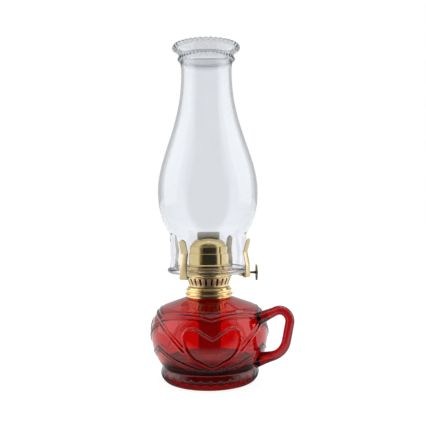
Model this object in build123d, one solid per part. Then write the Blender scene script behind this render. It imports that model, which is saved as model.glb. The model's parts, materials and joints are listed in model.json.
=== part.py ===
from build123d import *
import math
import os

# Glass hand lamp for lamp oil, sizes in millimetres.
# The foot stands on Z = 0 round the Z axis, and the finger handle points along +X.

# Font: the pressed-glass oil bowl with its foot, neck and handle
FOOT_REST_R = 42.0          # outer edge of the ring that the lamp stands on
FOOT_RING_W = 5.0           # width of that ring
FOOT_R = 46.6               # widest part of the foot
FOOT_BULGE_Z = 7.6          # height of the widest part
FOOT_FULLNESS = 0.3         # how far the foot's underside stays level, as a share of its overhang
FOOT_LOBES = 32             # scallops round the foot
FOOT_LOBE_R = 6.5           # curvature of one scallop
FOOT_TRIM = 0.15            # depth by which the scallops trim the foot at its widest
WAIST_R = 45.2              # groove between foot and bowl
WAIST_Z = 14.0
BELLY_R = 55.4              # widest part of the bowl
BELLY_Z = 45.1
CROWN_R = 32.6              # upright curve above the belly
SHOULDER_Z = 78.1           # height at which the bowl's sloping top would meet the neck
SHOULDER_FALL = 19.7        # fall of the top from the neck outwards, in degrees
SHOULDER_ROUND = 14.0       # curve from the side into the top
NECK_FILLET = 1.6           # curve from the bowl's top into the neck
NECK_R = 19.6               # outside of the glass neck
NECK_WALL = 3.2
NECK_H = 2.9                # neck above that height
GLASS_WALL = 4.2            # side wall of the bowl
FLOOR_Z = 18.0              # inside floor of the bowl
FLOOR_WALL = 5.0
FLOOR_CORNER = 7.0          # curve between floor and wall inside
RELIEF_H = 1.1              # height of the raised lines on the bowl
RELIEF_W = 2.2              # width of the raised lines

# Heart outlines, three round the bowl with the handle midway between two of them
HEART_COUNT = 3
HEART_HALF_W = 25.0         # from the heart's middle to the line at its side
HEART_LOBE_X = 17.0         # middle of one lobe
HEART_TOP_Z = 56.6
HEART_NOTCH_Z = 47.8
HEART_SIDE_R = 23.0         # curve of the lower sides
HEART_TIP_Z = 21.8
FRAME_NOTCH_Z = 61.5        # lines that frame each heart: over it from a notch by a crest to a corner
FRAME_CREST = (24.0, 64.6)
FRAME_CORNER_Z = 59.0
FRAME_LEG_END = (25.6, 36.0)  # and from the corner down to the heart's side
GARLAND_LOW_Z = 18.2        # hanging line below each heart
GARLAND_MID = (31.0, 27.6)
GARLAND_END_Z = 37.5

# Handle: round glass rod, its centre line given as distance from the lamp's axis and height
HANDLE_D = 8.4
HANDLE_UPPER_Z = 57.9       # where the centre line starts inside the glass
HANDLE_LOWER_Z = 21.6       # where it ends there
HANDLE_TOP = (84.4, 76.1)   # corners that the bends round off
HANDLE_HEEL = (75.2, 30.7)
HANDLE_TOP_BEND = 9.0
HANDLE_HEEL_BEND = 20.0
HANDLE_ROOT_D = 14.5        # the rod swells to this where it joins the bowl
HANDLE_ROOT_L = 13.0
HANDLE_ROOT_SINK = 0.4      # the swelling runs on into the rod by this depth

# Collar: brass ring set on the neck in plaster, with a threaded sleeve inside the neck
SHEET = 0.6                 # brass sheet of collar and burner
COLLAR_R = 21.3
COLLAR_H = 5.0
COLLAR_BEAD = 0.8           # radius of the bead round the collar
SLEEVE_L = 8.5
SLEEVE_GAP = 0.15           # sleeve to the glass bore
PLASTER_TOP = 1.2           # plaster between the neck's top and the collar

# Burner: everything that unscrews from the collar
BURNER_TURN = 27.0          # the shaft's direction, turned from the handle
THREAD_GAP = 0.35           # burner's thread core to the collar's sleeve
BASE_R = 21.8               # ring that sits on the collar
BASE_H = 4.6
BASE_ROUND = 1.2
THREAD_L = 7.0
BASKET_FOOT_IN = 3.0        # foot and top of the basket inside the base's edge
BASKET_TOP_IN = 0.4
BASKET_H = 9.4
SLOT_COUNT = 24
SLOT_W = 2.1
SLOT_LOW = 2.2              # from the basket's ends to the slots
SLOT_HIGH = 0.8
DRUM_R = 21.6               # gallery ring above the basket
DRUM_H = 10.2
SEAT_RISE = 4.0             # chimney seat above the gallery's lower edge
ARM_COUNT = 4
ARM_TURN = -32.0            # first arm, turned from the shaft
ARM_W = 8.0
ARM_T = 0.8
ARM_REACH = 1.3             # arm's end beyond the chimney's rim
DIFFUSER_DROP = 1.6         # diffuser below the gallery's top edge
DIFFUSER_HOLES = 20
DIFFUSER_HOLE_R = 1.0
DIFFUSER_RING_R = 17.0

# Prongs: spring strips that stand outside the chimney's foot
PRONG_T = 0.7
PRONG_W = 5.6
PRONG_FOOT_W = 8.0
PRONG_GAP = 0.5             # waist of the strip to the chimney's rim
PRONG_SLACK = 2.9           # lower stretch of the strip to the chimney's rim
PRONG_FOOT_L = 5.5          # strip under the arm
PRONG_DROP = 2.4            # lower bend below the arm
PRONG_BASE_H = 9.0          # seat to the start of the inward bend
PRONG_WAIST_H = 20.0        # seat to the waist
PRONG_TIP_H = 33.0          # seat to the tip
PRONG_TIP_OUT = 4.0         # tip outside the waist

# Dome over the flame
DOME_FLANGE_R = 20.8
DOME_FLANGE_H = 2.3
DOME_R = 18.9               # lower stage
DOME_LOWER_H = 9.4
DOME_UPPER_IN = 0.9         # upper stage inside the lower one
DOME_UPPER_H = 6.2
DOME_CAP_IN = 2.2           # cap inside the lower stage
DOME_CAP_H = 8.6
DOME_STEP_H = 0.5           # sloping step between two stages
DOME_LEAN = 0.02            # a stage leans inwards by this share of its height
DOME_SLOT_L = 23.4
DOME_SLOT_W = 6.2

# Wick, wick tube and raiser
WICK_W = 21.0
WICK_T = 2.6
WICK_STANDS = 5.2           # above the dome
WICK_GAP = 0.4              # wick to tube
WICK_BEND_Z = 46.0          # the tail hangs straight down to here
WICK_TAIL = ((-3.0, 33.0), (-8.2, 25.0))
WICK_BENDS = (30.0, 9.0)
TUBE_WALL = 0.5
TUBE_BELOW = 5.0            # tube below the burner's floor
TUBE_TOP_GAP = 7.0          # tube's end below the dome's top
SHAFT_R = 0.95
SHAFT_GAP = 0.45            # shaft below the chimney's seat
SHAFT_RUN = 0.05            # radial clearance in the bearings
SPUR_COUNT = 4
SPUR_PITCH = 4.8            # spacing of the spur wheels along the shaft
SPUR_TIP_R = 5.0
SPUR_ROOT_R = 3.4
SPUR_TEETH = 10
SPUR_T = 1.2
SPUR_BITE = 0.55            # teeth below the wick's face
SPUR_SIDE_GAP = 0.35
BRACKET_T = 0.8
BRACKET_EDGE = 2.2          # bracket round the shaft
BUSH_R = 1.9
BUSH_FLANGE_R = 2.7
BUSH_L = 3.4
KNOB_X = 45.2               # inner face of the thumb wheel from the lamp's axis
KNOB_R = 7.7
KNOB_T = 1.5
KNOB_HUB_R = 2.2
KNOB_HUB_L = 2.6
RIVET_R = 1.6
VENT_R = 1.9
VENT_WALL = 0.5
VENT_Y = -9.4
VENT_BELOW = 4.0
VENT_ABOVE = 8.0

# Chimney, heights measured from its seat
CHIMNEY_WALL = 2.2
CHIMNEY_FIT_R = 36.3        # straight lower length
CHIMNEY_RIM_OUT = 3.0       # bead round the lower end, outside the straight length
CHIMNEY_RIM_H = 5.2
CHIMNEY_FIT_H = 36.0
CHIMNEY_BELLY_R = 47.4
CHIMNEY_BELLY_H = 77.0
CHIMNEY_NECK_R = 24.1
CHIMNEY_NECK_H = 190.0
CHIMNEY_BAND_R = 26.6       # moulded band under the lip
CHIMNEY_BAND_H = 203.0
CHIMNEY_BAND_HALF = 4.2
CHIMNEY_LIP_R = 29.8        # middle of the bead ring
CHIMNEY_LIP_H = 213.8
PEARLS = 40
PEARL_R = 2.35

# Heights that follow from the sizes above
SHOULDER_LEAN = math.radians(SHOULDER_FALL)
NECK_FOOT_Z = SHOULDER_Z + NECK_FILLET * (1 - math.sin(SHOULDER_LEAN)) / math.cos(SHOULDER_LEAN)
NECK_TOP_Z = SHOULDER_Z + NECK_H
COLLAR_TOP_Z = NECK_TOP_Z + PLASTER_TOP + SHEET
COLLAR_LOW_Z = COLLAR_TOP_Z - COLLAR_H
BASKET_Z = COLLAR_TOP_Z + BASE_H
DRUM_Z = BASKET_Z + BASKET_H
SEAT_Z = DRUM_Z + SEAT_RISE
DOME_Z = DRUM_Z + DRUM_H
DOME_UPPER_Z = DOME_Z + DOME_FLANGE_H + DOME_LOWER_H + DOME_STEP_H
DOME_CAP_Z = DOME_UPPER_Z + DOME_UPPER_H + DOME_STEP_H
DOME_TOP_Z = DOME_CAP_Z + DOME_CAP_H
WICK_TOP_Z = DOME_TOP_Z + WICK_STANDS
SHAFT_Z = SEAT_Z - SHAFT_GAP - SHAFT_R

# Radii and offsets that follow
NECK_BORE = NECK_R - NECK_WALL
SLEEVE_OUT = NECK_BORE - SLEEVE_GAP
SLEEVE_IN = SLEEVE_OUT - SHEET
THREAD_R = SLEEVE_IN - THREAD_GAP
TUBE_IN_W = WICK_W + 2 * WICK_GAP
TUBE_IN_T = WICK_T + 2 * WICK_GAP
TUBE_OUT_W = TUBE_IN_W + 2 * TUBE_WALL
TUBE_OUT_T = TUBE_IN_T + 2 * TUBE_WALL
SHAFT_Y = WICK_T / 2 - SPUR_BITE + SPUR_TIP_R
SPUR_X = [(i - (SPUR_COUNT - 1) / 2) * SPUR_PITCH for i in range(SPUR_COUNT)]
BEARING_R = SHAFT_R + SHAFT_RUN
BASKET_FOOT_R = BASE_R - BASKET_FOOT_IN
BASKET_TOP_R = BASE_R - BASKET_TOP_IN
ARM_ANGLES = [ARM_TURN + i * 360 / ARM_COUNT for i in range(ARM_COUNT)]
CHIMNEY_RIM_R = CHIMNEY_FIT_R + CHIMNEY_RIM_OUT
ARM_TIP_R = CHIMNEY_RIM_R + ARM_REACH


def turned(*edges):
    """Solid of revolution about Z from a closed outline of radius and height."""
    return revolve(Plane.XZ * make_face(Curve() + list(edges)), Axis.Z)


def swell(start, end, rise, drop):
    """Curve that leaves one point upwards by rise and arrives upwards at another after drop."""
    return Bezier(start, (start[0], start[1] + rise), (end[0], end[1] - drop), end)


def tube_of(outer, inner, length):
    """Round tube along Z."""
    return Cylinder(outer, length) - Cylinder(inner, length)


def along_shaft(shape, x):
    """Shape made along Z, laid along the raiser's shaft from the given distance."""
    return Pos(x, SHAFT_Y, SHAFT_Z) * Rot(0, 90, 0) * shape


def arc(centre, radius, start, end):
    """Round stretch between two points of one circle, the short way."""
    middle = Vector(*start) + Vector(*end) - 2 * Vector(*centre)
    through = Vector(*centre) + middle.normalized() * radius
    return ThreePointArc(start, through, end)


def touch(point, centre, radius, side):
    """Where a straight line from a point outside a circle touches it, on the left (1) or right (-1)."""
    across = Vector(*centre) - Vector(*point)
    swing = side * math.degrees(math.asin(radius / across.length))
    reach = math.sqrt(across.length**2 - radius**2)
    spot = Vector(*point) + across.normalized().rotate(Axis.Z, swing) * reach
    return spot.X, spot.Y


def bowl_outline(grow):
    """Outside of the bowl from the waist up its side and onto its sloping top, moved outwards."""
    rise = BELLY_Z - WAIST_Z
    widen = BELLY_R - WAIST_R
    side_r = (rise**2 + widen**2) / (2 * widen)
    side_centre = (BELLY_R - side_r, BELLY_Z)
    crown_centre = Vector(BELLY_R - CROWN_R, BELLY_Z)
    outwards = Vector(math.cos(SHOULDER_LEAN), -math.sin(SHOULDER_LEAN))
    upwards = Vector(math.sin(SHOULDER_LEAN), math.cos(SHOULDER_LEAN))
    below_neck = Vector(NECK_R, SHOULDER_Z) - upwards * SHOULDER_ROUND - crown_centre
    along = below_neck.dot(outwards)
    reach = math.sqrt(along**2 - below_neck.length**2 + (CROWN_R - SHOULDER_ROUND) ** 2) - along
    lean = below_neck + outwards * reach
    round_centre = crown_centre + lean
    blend = crown_centre + lean.normalized() * (CROWN_R + grow)
    top = round_centre + upwards * (SHOULDER_ROUND + grow)
    waist_r = side_centre[0] + math.sqrt((side_r + grow) ** 2 - rise**2)
    waist = (waist_r, WAIST_Z)
    belly = (BELLY_R + grow, BELLY_Z)
    edges = [
        arc(side_centre, side_r + grow, waist, belly),
        arc(crown_centre, CROWN_R + grow, belly, blend),
        arc(round_centre, SHOULDER_ROUND + grow, blend, top),
    ]
    return waist, edges, (top.X, top.Y)


def heart_face(half_w, lobe_x, top_z, notch_z, side_r, tip_z):
    """Flat heart with its tip downwards, drawn across and up: straight at notch and tip, round between."""
    lobe_r = half_w - lobe_x
    lobe = (lobe_x, top_z - lobe_r)
    flank = (half_w, lobe[1])
    side = (half_w - side_r, lobe[1])
    notch, tip = (0, notch_z), (0, tip_z)
    upper = touch(notch, lobe, lobe_r, 1)
    lower = touch(tip, side, side_r, -1)
    crest = (lobe_x, top_z)
    half = [
        Line(notch, upper),
        arc(lobe, lobe_r, upper, crest),
        arc(lobe, lobe_r, crest, flank),
        arc(side, side_r, flank, lower),
        Line(lower, tip),
    ]
    return make_face(Curve() + half + [mirror(edge, Plane.YZ) for edge in half])


def bowl_body(grow):
    """Solid bowl from its waist to the edge of its top, with its outside moved outwards."""
    waist, side, top = bowl_outline(grow)
    return turned(Line((0, waist[1]), waist), *side, Line(top, (0, top[1])), Line((0, top[1]), (0, waist[1])))


def frame_lines():
    """Lines round a heart, drawn across and up; they meet the next heart's at the corners."""
    corner_x = BELLY_R * math.sin(math.pi / HEART_COUNT) + RELIEF_W / 4
    corner = (corner_x, FRAME_CORNER_Z)
    half = [
        ThreePointArc((0, FRAME_NOTCH_Z), FRAME_CREST, corner),
        Line(corner, FRAME_LEG_END),
        ThreePointArc((0, GARLAND_LOW_Z), GARLAND_MID, (corner_x, GARLAND_END_Z)),
    ]
    return half + [mirror(edge, Plane.YZ) for edge in half]


def raised_hearts():
    """Hearts in outline and the lines that frame them, standing out of the bowl all round."""
    grown = bowl_body(RELIEF_H)
    heart = heart_face(HEART_HALF_W, HEART_LOBE_X, HEART_TOP_Z, HEART_NOTCH_Z, HEART_SIDE_R, HEART_TIP_Z)
    outline = offset(heart, RELIEF_W / 2) - offset(heart, -RELIEF_W / 2)
    frame = Sketch() + [trace(edge, RELIEF_W) for edge in frame_lines()]
    facing = Plane(origin=(BELLY_R / 2, 0, 0), x_dir=(0, 1, 0), z_dir=(1, 0, 0))
    lines = []
    for pattern in (outline, frame):
        line = extrude(facing * pattern, amount=BELLY_R) & grown
        lines += [Rot(0, 0, (i + 0.5) * 360 / HEART_COUNT) * line for i in range(HEART_COUNT)]
    return lines


def foot():
    """Scalloped foot below the waist."""
    rest = (FOOT_REST_R, 0)
    wide_r = FOOT_R + FOOT_TRIM
    bulge = (wide_r, FOOT_BULGE_Z)
    waist = (WAIST_R, WAIST_Z)
    level_r = FOOT_REST_R + FOOT_FULLNESS * (wide_r - FOOT_REST_R)
    under = Bezier(rest, (level_r, 0), (wide_r, 0.5 * FOOT_BULGE_Z), bulge)
    over = swell(bulge, waist, 0.4 * (WAIST_Z - FOOT_BULGE_Z), 0.4 * (WAIST_Z - FOOT_BULGE_Z))
    body = turned(Line((0, 0), rest), under, over, Line(waist, (0, WAIST_Z)), Line((0, WAIST_Z), (0, 0)))
    ring = PolarLocations(FOOT_R - FOOT_LOBE_R, FOOT_LOBES)
    scallops = Circle(FOOT_R - FOOT_LOBE_R) + [place * Circle(FOOT_LOBE_R) for place in ring]
    return body & extrude(scallops, WAIST_Z)


def handle():
    """Round rod bent into a finger loop, swelling at both roots."""
    inside = BELLY_R - 2 * GLASS_WALL
    upper = (inside, HANDLE_UPPER_Z)
    lower = (inside, HANDLE_LOWER_Z)
    path = Plane.XZ * FilletPolyline(upper, HANDLE_TOP, HANDLE_HEEL, lower, radius=(HANDLE_TOP_BEND, HANDLE_HEEL_BEND))
    start = Plane(origin=path @ 0, z_dir=path % 0)
    rod = sweep(start * Circle(HANDLE_D / 2), path)
    reach = HANDLE_ROOT_L + GLASS_WALL
    taper = (HANDLE_ROOT_D - HANDLE_D) / 2 / reach
    sunk_r = HANDLE_D / 2 - HANDLE_ROOT_SINK
    sunk_reach = reach + HANDLE_ROOT_SINK / taper
    cone = Cone(HANDLE_ROOT_D / 2, sunk_r, sunk_reach, align=(Align.CENTER, Align.CENTER, Align.MIN))
    roots = []
    for at, inward in ((0, -1), (1, 1)):
        base = Plane(origin=path @ at, z_dir=(path % at) * -inward)
        roots.append(base * cone)
    return [rod] + roots


def bowl_inside():
    """Oil space with the neck's bore, open at the top."""
    waist, side, top = bowl_outline(-GLASS_WALL)
    ceiling = top[1] + (top[0] - NECK_BORE) * math.tan(SHOULDER_LEAN)
    low = (0, waist[1])
    room = turned(
        Line(low, waist),
        *side,
        Line(top, (NECK_BORE, ceiling)),
        Line((NECK_BORE, ceiling), (NECK_BORE, NECK_TOP_Z)),
        Line((NECK_BORE, NECK_TOP_Z), (0, NECK_TOP_Z)),
        Line((0, NECK_TOP_Z), low),
    )
    room = split(room, Plane.XY.offset(FLOOR_Z), keep=Keep.TOP)
    floor_edge = room.edges().group_by(Axis.Z)[0]
    return fillet(floor_edge, FLOOR_CORNER)


def make_font():
    waist, side, top = bowl_outline(0)
    fillet_centre = Vector(NECK_R + NECK_FILLET, NECK_FOOT_Z)
    fillet_start = fillet_centre - Vector(math.sin(SHOULDER_LEAN), math.cos(SHOULDER_LEAN)) * NECK_FILLET
    fillet_end = (NECK_R, NECK_FOOT_Z)
    bowl = turned(
        Line((0, WAIST_Z), waist),
        *side,
        Line(top, fillet_start),
        arc(fillet_centre, NECK_FILLET, fillet_start, fillet_end),
        Line(fillet_end, (NECK_R, NECK_TOP_Z)),
        Line((NECK_R, NECK_TOP_Z), (0, NECK_TOP_Z)),
        Line((0, NECK_TOP_Z), (0, WAIST_Z)),
    )
    glass = bowl + raised_hearts() + [foot()] + handle()
    hollow_r = FOOT_REST_R - FOOT_RING_W
    hollow_h = FLOOR_Z - FLOOR_WALL
    hollow = Pos(0, 0, hollow_h / 2) * Cone(hollow_r, hollow_r - 0.3 * hollow_h, hollow_h)
    return glass - bowl_inside() - hollow


def make_collar():
    low, top = COLLAR_LOW_Z, COLLAR_TOP_Z
    bead_z = low + 0.5 * COLLAR_H
    wall = COLLAR_R - SHEET
    return turned(
        Line((COLLAR_R, low), (COLLAR_R, bead_z - COLLAR_BEAD)),
        ThreePointArc(
            (COLLAR_R, bead_z - COLLAR_BEAD), (COLLAR_R + 2 * COLLAR_BEAD, bead_z), (COLLAR_R, bead_z + COLLAR_BEAD)
        ),
        Line((COLLAR_R, bead_z + COLLAR_BEAD), (COLLAR_R, top)),
        Line((COLLAR_R, top), (SLEEVE_IN, top)),
        Line((SLEEVE_IN, top), (SLEEVE_IN, top - SLEEVE_L)),
        Line((SLEEVE_IN, top - SLEEVE_L), (SLEEVE_OUT, top - SLEEVE_L)),
        Line((SLEEVE_OUT, top - SLEEVE_L), (SLEEVE_OUT, top - SHEET)),
        Line((SLEEVE_OUT, top - SHEET), (wall, top - SHEET)),
        Line((wall, top - SHEET), (wall, low)),
        Line((wall, low), (COLLAR_R, low)),
    )


def make_collar_plaster():
    low, top = NECK_FOOT_Z, COLLAR_TOP_Z - SHEET
    wall = COLLAR_R - SHEET
    return turned(
        Polyline((NECK_R, low), (wall, low), (wall, top), (SLEEVE_OUT, top), (SLEEVE_OUT, NECK_TOP_Z)),
        Polyline((SLEEVE_OUT, NECK_TOP_Z), (NECK_R, NECK_TOP_Z), (NECK_R, low)),
    )


def tube_prism(low, high, grow=0.0):
    """Block with the wick tube's outer section."""
    block = Box(TUBE_OUT_W + 2 * grow, TUBE_OUT_T + 2 * grow, high - low)
    return Pos(0, 0, (low + high) / 2) * block


def vent_post(radius, low, high):
    return Pos(0, VENT_Y, (low + high) / 2) * Cylinder(radius, high - low)


def make_burner_base():
    low, high = COLLAR_TOP_Z, BASKET_Z
    wall = BASE_R - SHEET
    bore = THREAD_R - SHEET
    lip_r = BASKET_FOOT_R - 2 * SHEET
    shell = turned(
        Polyline((bore, low), (bore, low - THREAD_L), (THREAD_R, low - THREAD_L), (THREAD_R, low), (BASE_R, low)),
        Line((BASE_R, low), (BASE_R, high - BASE_ROUND)),
        RadiusArc((BASE_R, high - BASE_ROUND), (BASE_R - BASE_ROUND, high), -BASE_ROUND),
        Polyline((BASE_R - BASE_ROUND, high), (lip_r, high), (lip_r, high - SHEET), (wall - BASE_ROUND, high - SHEET)),
        Line((wall - BASE_ROUND, high - SHEET), (wall, high - SHEET - BASE_ROUND)),
        Polyline((wall, high - SHEET - BASE_ROUND), (wall, low + SHEET), (0, low + SHEET), (0, low), (bore, low)),
    )
    return shell - tube_prism(low, low + SHEET) - vent_post(VENT_R, low, low + SHEET)


def make_air_basket():
    low, high = BASKET_Z, DRUM_Z
    foot_in = BASKET_FOOT_R - 2 * SHEET
    wall = turned(
        Polyline((foot_in, low), (BASKET_FOOT_R, low), (BASKET_FOOT_R, low + SHEET)),
        swell((BASKET_FOOT_R, low + SHEET), (BASKET_TOP_R, high), 0.45 * BASKET_H, 0.3 * BASKET_H),
        Line((BASKET_TOP_R, high), (BASKET_TOP_R - SHEET, high)),
        swell((BASKET_FOOT_R - SHEET, low + SHEET), (BASKET_TOP_R - SHEET, high), 0.45 * BASKET_H, 0.3 * BASKET_H),
        Polyline((BASKET_FOOT_R - SHEET, low + SHEET), (foot_in, low + SHEET), (foot_in, low)),
    )
    slot_low, slot_high = low + SLOT_LOW, high - SLOT_HIGH
    slot = Pos(BASKET_TOP_R, 0, (slot_low + slot_high) / 2) * Box(4 * BASKET_FOOT_R / 5, SLOT_W, slot_high - slot_low)
    return wall - [Rot(0, 0, i * 360 / SLOT_COUNT) * slot for i in range(SLOT_COUNT)]


def make_gallery():
    low, high = DRUM_Z, DOME_Z
    ring = Pos(0, 0, (low + high) / 2) * tube_of(DRUM_R, DRUM_R - SHEET, high - low)
    roll = Pos(0, 0, SEAT_Z - ARM_T / 2) * Torus(DRUM_R, SHEET)
    inner = DRUM_R - SHEET / 2
    reach = ARM_TIP_R - inner
    arm = Pos(inner + reach / 2, 0, SEAT_Z - ARM_T / 2) * Box(reach, ARM_W, ARM_T)
    arms = [Rot(0, 0, angle) * arm for angle in ARM_ANGLES]
    bush_hole = along_shaft(Cylinder(BUSH_R, 2 * DRUM_R, align=(Align.CENTER, Align.CENTER, Align.MIN)), 0)
    core = Pos(0, 0, (low + high) / 2) * Cylinder(DRUM_R - SHEET, high - low)
    return ring + roll + arms - core - bush_hole


def make_prong():
    """Spring strip on the first arm's line, before it is turned into place."""
    under = SEAT_Z - ARM_T - PRONG_T / 2
    half = PRONG_T / 2
    lower_r = CHIMNEY_RIM_R + PRONG_SLACK + half
    waist_r = CHIMNEY_RIM_R + PRONG_GAP + half
    path = Plane.XZ * FilletPolyline(
        (ARM_TIP_R - PRONG_FOOT_L, under),
        (ARM_TIP_R - 0.4 * PRONG_FOOT_L, under),
        (lower_r, under - PRONG_DROP),
        (lower_r, SEAT_Z + PRONG_BASE_H),
        (waist_r, SEAT_Z + PRONG_WAIST_H),
        (waist_r + PRONG_TIP_OUT, SEAT_Z + PRONG_TIP_H),
        radius=(2 * PRONG_T, 1.5 * PRONG_T, 12 * PRONG_T, 9 * PRONG_T),
    )
    start = Plane(origin=path @ 0, x_dir=(0, 1, 0), z_dir=path % 0)
    strip = sweep(start * Rectangle(PRONG_FOOT_W, PRONG_T), path)
    tip_z = SEAT_Z + PRONG_TIP_H
    knee_z = SEAT_Z + PRONG_BASE_H
    low_z = under - PRONG_DROP - PRONG_T
    front = make_face(
        Polyline(
            (-PRONG_FOOT_W / 2, low_z),
            (PRONG_FOOT_W / 2, low_z),
            (PRONG_FOOT_W / 2, SEAT_Z),
            (PRONG_W / 2, knee_z),
            (PRONG_W / 2, tip_z - PRONG_W / 2),
        )
        + ThreePointArc((PRONG_W / 2, tip_z - PRONG_W / 2), (0, tip_z), (-PRONG_W / 2, tip_z - PRONG_W / 2))
        + Polyline(
            (-PRONG_W / 2, tip_z - PRONG_W / 2),
            (-PRONG_W / 2, knee_z),
            (-PRONG_FOOT_W / 2, SEAT_Z),
            (-PRONG_FOOT_W / 2, low_z),
        )
    )
    facing = Plane(origin=(0, 0, 0), x_dir=(0, 1, 0), z_dir=(1, 0, 0))
    return strip & extrude(facing * front, amount=2 * ARM_TIP_R)


def make_diffuser():
    high = DOME_Z - DIFFUSER_DROP
    plate = Pos(0, 0, high - SHEET / 2) * Cylinder(DRUM_R - SHEET, SHEET)
    ring = PolarLocations(DIFFUSER_RING_R, DIFFUSER_HOLES)
    holes = [Pos(0, 0, high - SHEET / 2) * place * Cylinder(DIFFUSER_HOLE_R, SHEET) for place in ring]
    return plate - holes - tube_prism(high - SHEET, high)


def dome_outline(inset):
    """Edges of the dome from its flange to the axis, moved inwards by the sheet's thickness for its inside."""
    lower_r = DOME_R - inset
    upper_r = lower_r - DOME_UPPER_IN
    cap_r = lower_r - DOME_CAP_IN
    start = (lower_r, DOME_Z + DOME_FLANGE_H - inset)
    cap_start = (cap_r, DOME_CAP_Z - inset)
    top = (0, DOME_TOP_Z - inset)
    stages = Polyline(
        start,
        (lower_r - DOME_LEAN * DOME_LOWER_H, DOME_UPPER_Z - DOME_STEP_H - inset),
        (upper_r, DOME_UPPER_Z - inset),
        (upper_r - DOME_LEAN * DOME_UPPER_H, DOME_CAP_Z - DOME_STEP_H - inset),
        cap_start,
    )
    cap = Bezier(cap_start, (0.94 * cap_r, cap_start[1] + 0.55 * DOME_CAP_H), (0.55 * cap_r, top[1]), top)
    return start, [stages, cap], top


def make_deflector():
    start, outside, top = dome_outline(0)
    inner_start, inside, inner_top = dome_outline(SHEET)
    edge = SHEET
    flange = [
        Line((inner_start[0], DOME_Z), (DOME_FLANGE_R - edge, DOME_Z)),
        ThreePointArc((DOME_FLANGE_R - edge, DOME_Z), (DOME_FLANGE_R, DOME_Z + edge), (DOME_FLANGE_R - edge, DOME_Z + 2 * edge)),
        Bezier((DOME_FLANGE_R - edge, DOME_Z + 2 * edge), (start[0], DOME_Z + 2 * edge), start),
    ]
    skirt = Line(inner_start, (inner_start[0], DOME_Z))
    shell = turned(*flange, *outside, Line(top, inner_top), *inside, skirt)
    slot = SlotOverall(DOME_SLOT_L, DOME_SLOT_W)
    return shell - extrude(Plane.XY.offset(DOME_TOP_Z - DOME_CAP_H) * slot, 2 * DOME_CAP_H)


def make_wick_tube():
    low, high = COLLAR_TOP_Z - TUBE_BELOW, DOME_TOP_Z - TUBE_TOP_GAP
    bore = Pos(0, 0, (low + high) / 2) * Box(TUBE_IN_W, TUBE_IN_T, high - low)
    half_h = math.sqrt(SPUR_TIP_R**2 - (SHAFT_Y - TUBE_OUT_T / 2) ** 2) + WICK_GAP
    window = Box(SPUR_T + 2 * SPUR_SIDE_GAP, TUBE_OUT_T, 2 * half_h)
    windows = [Pos(x, TUBE_OUT_T / 2 + TUBE_IN_T / 4, SHAFT_Z) * window for x in SPUR_X]
    return tube_prism(low, high) - bore - windows


def make_vent_tube():
    low, high = COLLAR_TOP_Z - VENT_BELOW, COLLAR_TOP_Z + VENT_ABOVE
    return vent_post(VENT_R, low, high) - vent_post(VENT_R - VENT_WALL, low, high)


def make_bracket(side):
    """Bearing plate on one narrow side of the wick tube."""
    reach = SHAFT_Y + SHAFT_R + BRACKET_EDGE + TUBE_OUT_T / 2
    height = 2 * (SHAFT_R + BRACKET_EDGE)
    x = side * (TUBE_OUT_W + BRACKET_T) / 2
    plate = Pos(x, reach / 2 - TUBE_OUT_T / 2, SHAFT_Z) * Box(BRACKET_T, reach, height)
    return plate - along_shaft(Cylinder(BEARING_R, BRACKET_T), x)


def make_shaft_bush():
    flange_x = math.sqrt((DRUM_R + SHEET) ** 2 - (SHAFT_Y - BUSH_FLANGE_R) ** 2)
    low = flange_x - BUSH_L
    barrel = Cylinder(BUSH_R, BUSH_L, align=(Align.CENTER, Align.CENTER, Align.MIN))
    flange = Pos(0, 0, BUSH_L) * Cylinder(BUSH_FLANGE_R, SHEET, align=(Align.CENTER, Align.CENTER, Align.MIN))
    bore = Cylinder(BEARING_R, 2 * BUSH_L + 2 * SHEET)
    return along_shaft(barrel + flange - bore, low)


def make_raiser_shaft():
    inner_end = -(TUBE_OUT_W / 2 + 2 * BRACKET_T)
    length = KNOB_X + KNOB_T - inner_end
    rod = Cylinder(SHAFT_R, length, align=(Align.CENTER, Align.CENTER, Align.MIN))
    head = Pos(0, 0, length) * Cylinder(RIVET_R, SHEET, align=(Align.CENTER, Align.CENTER, Align.MIN))
    return along_shaft(rod + head, inner_end)


def make_spur_wheel(x):
    points = []
    for i in range(2 * SPUR_TEETH):
        radius = SPUR_ROOT_R if i % 2 else SPUR_TIP_R
        angle = math.radians(-90 + i * 180 / SPUR_TEETH)
        points.append((radius * math.cos(angle), radius * math.sin(angle)))
    star = make_face(Polyline(*points, close=True)) - Circle(SHAFT_R)
    return along_shaft(extrude(star, SPUR_T), x - SPUR_T / 2)


def make_thumb_wheel():
    disc = Cylinder(KNOB_R, KNOB_T, align=(Align.CENTER, Align.CENTER, Align.MIN))
    rims = disc.edges().filter_by(GeomType.CIRCLE)
    disc = fillet(rims, 0.4 * KNOB_T)
    hub = Cylinder(KNOB_HUB_R, KNOB_HUB_L, align=(Align.CENTER, Align.CENTER, Align.MAX))
    return along_shaft(disc + hub - Cylinder(SHAFT_R, 4 * KNOB_HUB_L), KNOB_X)


def make_wick():
    path = Plane.YZ * FilletPolyline((0, WICK_TOP_Z), (0, WICK_BEND_Z), *WICK_TAIL, radius=WICK_BENDS)
    start = Plane(origin=path @ 0, x_dir=(1, 0, 0), z_dir=path % 0)
    tape = sweep(start * Rectangle(WICK_W, WICK_T), path)
    track_low = COLLAR_TOP_Z - 2 * TUBE_BELOW
    track_w = SPUR_T + 2 * SPUR_SIDE_GAP
    depth = SPUR_BITE + SPUR_SIDE_GAP
    track = Box(track_w, depth, WICK_TOP_Z - track_low)
    y = WICK_T / 2 - depth / 2
    tracks = [Pos(x, y, (WICK_TOP_Z + track_low) / 2) * track for x in SPUR_X]
    return tape - tracks


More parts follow.
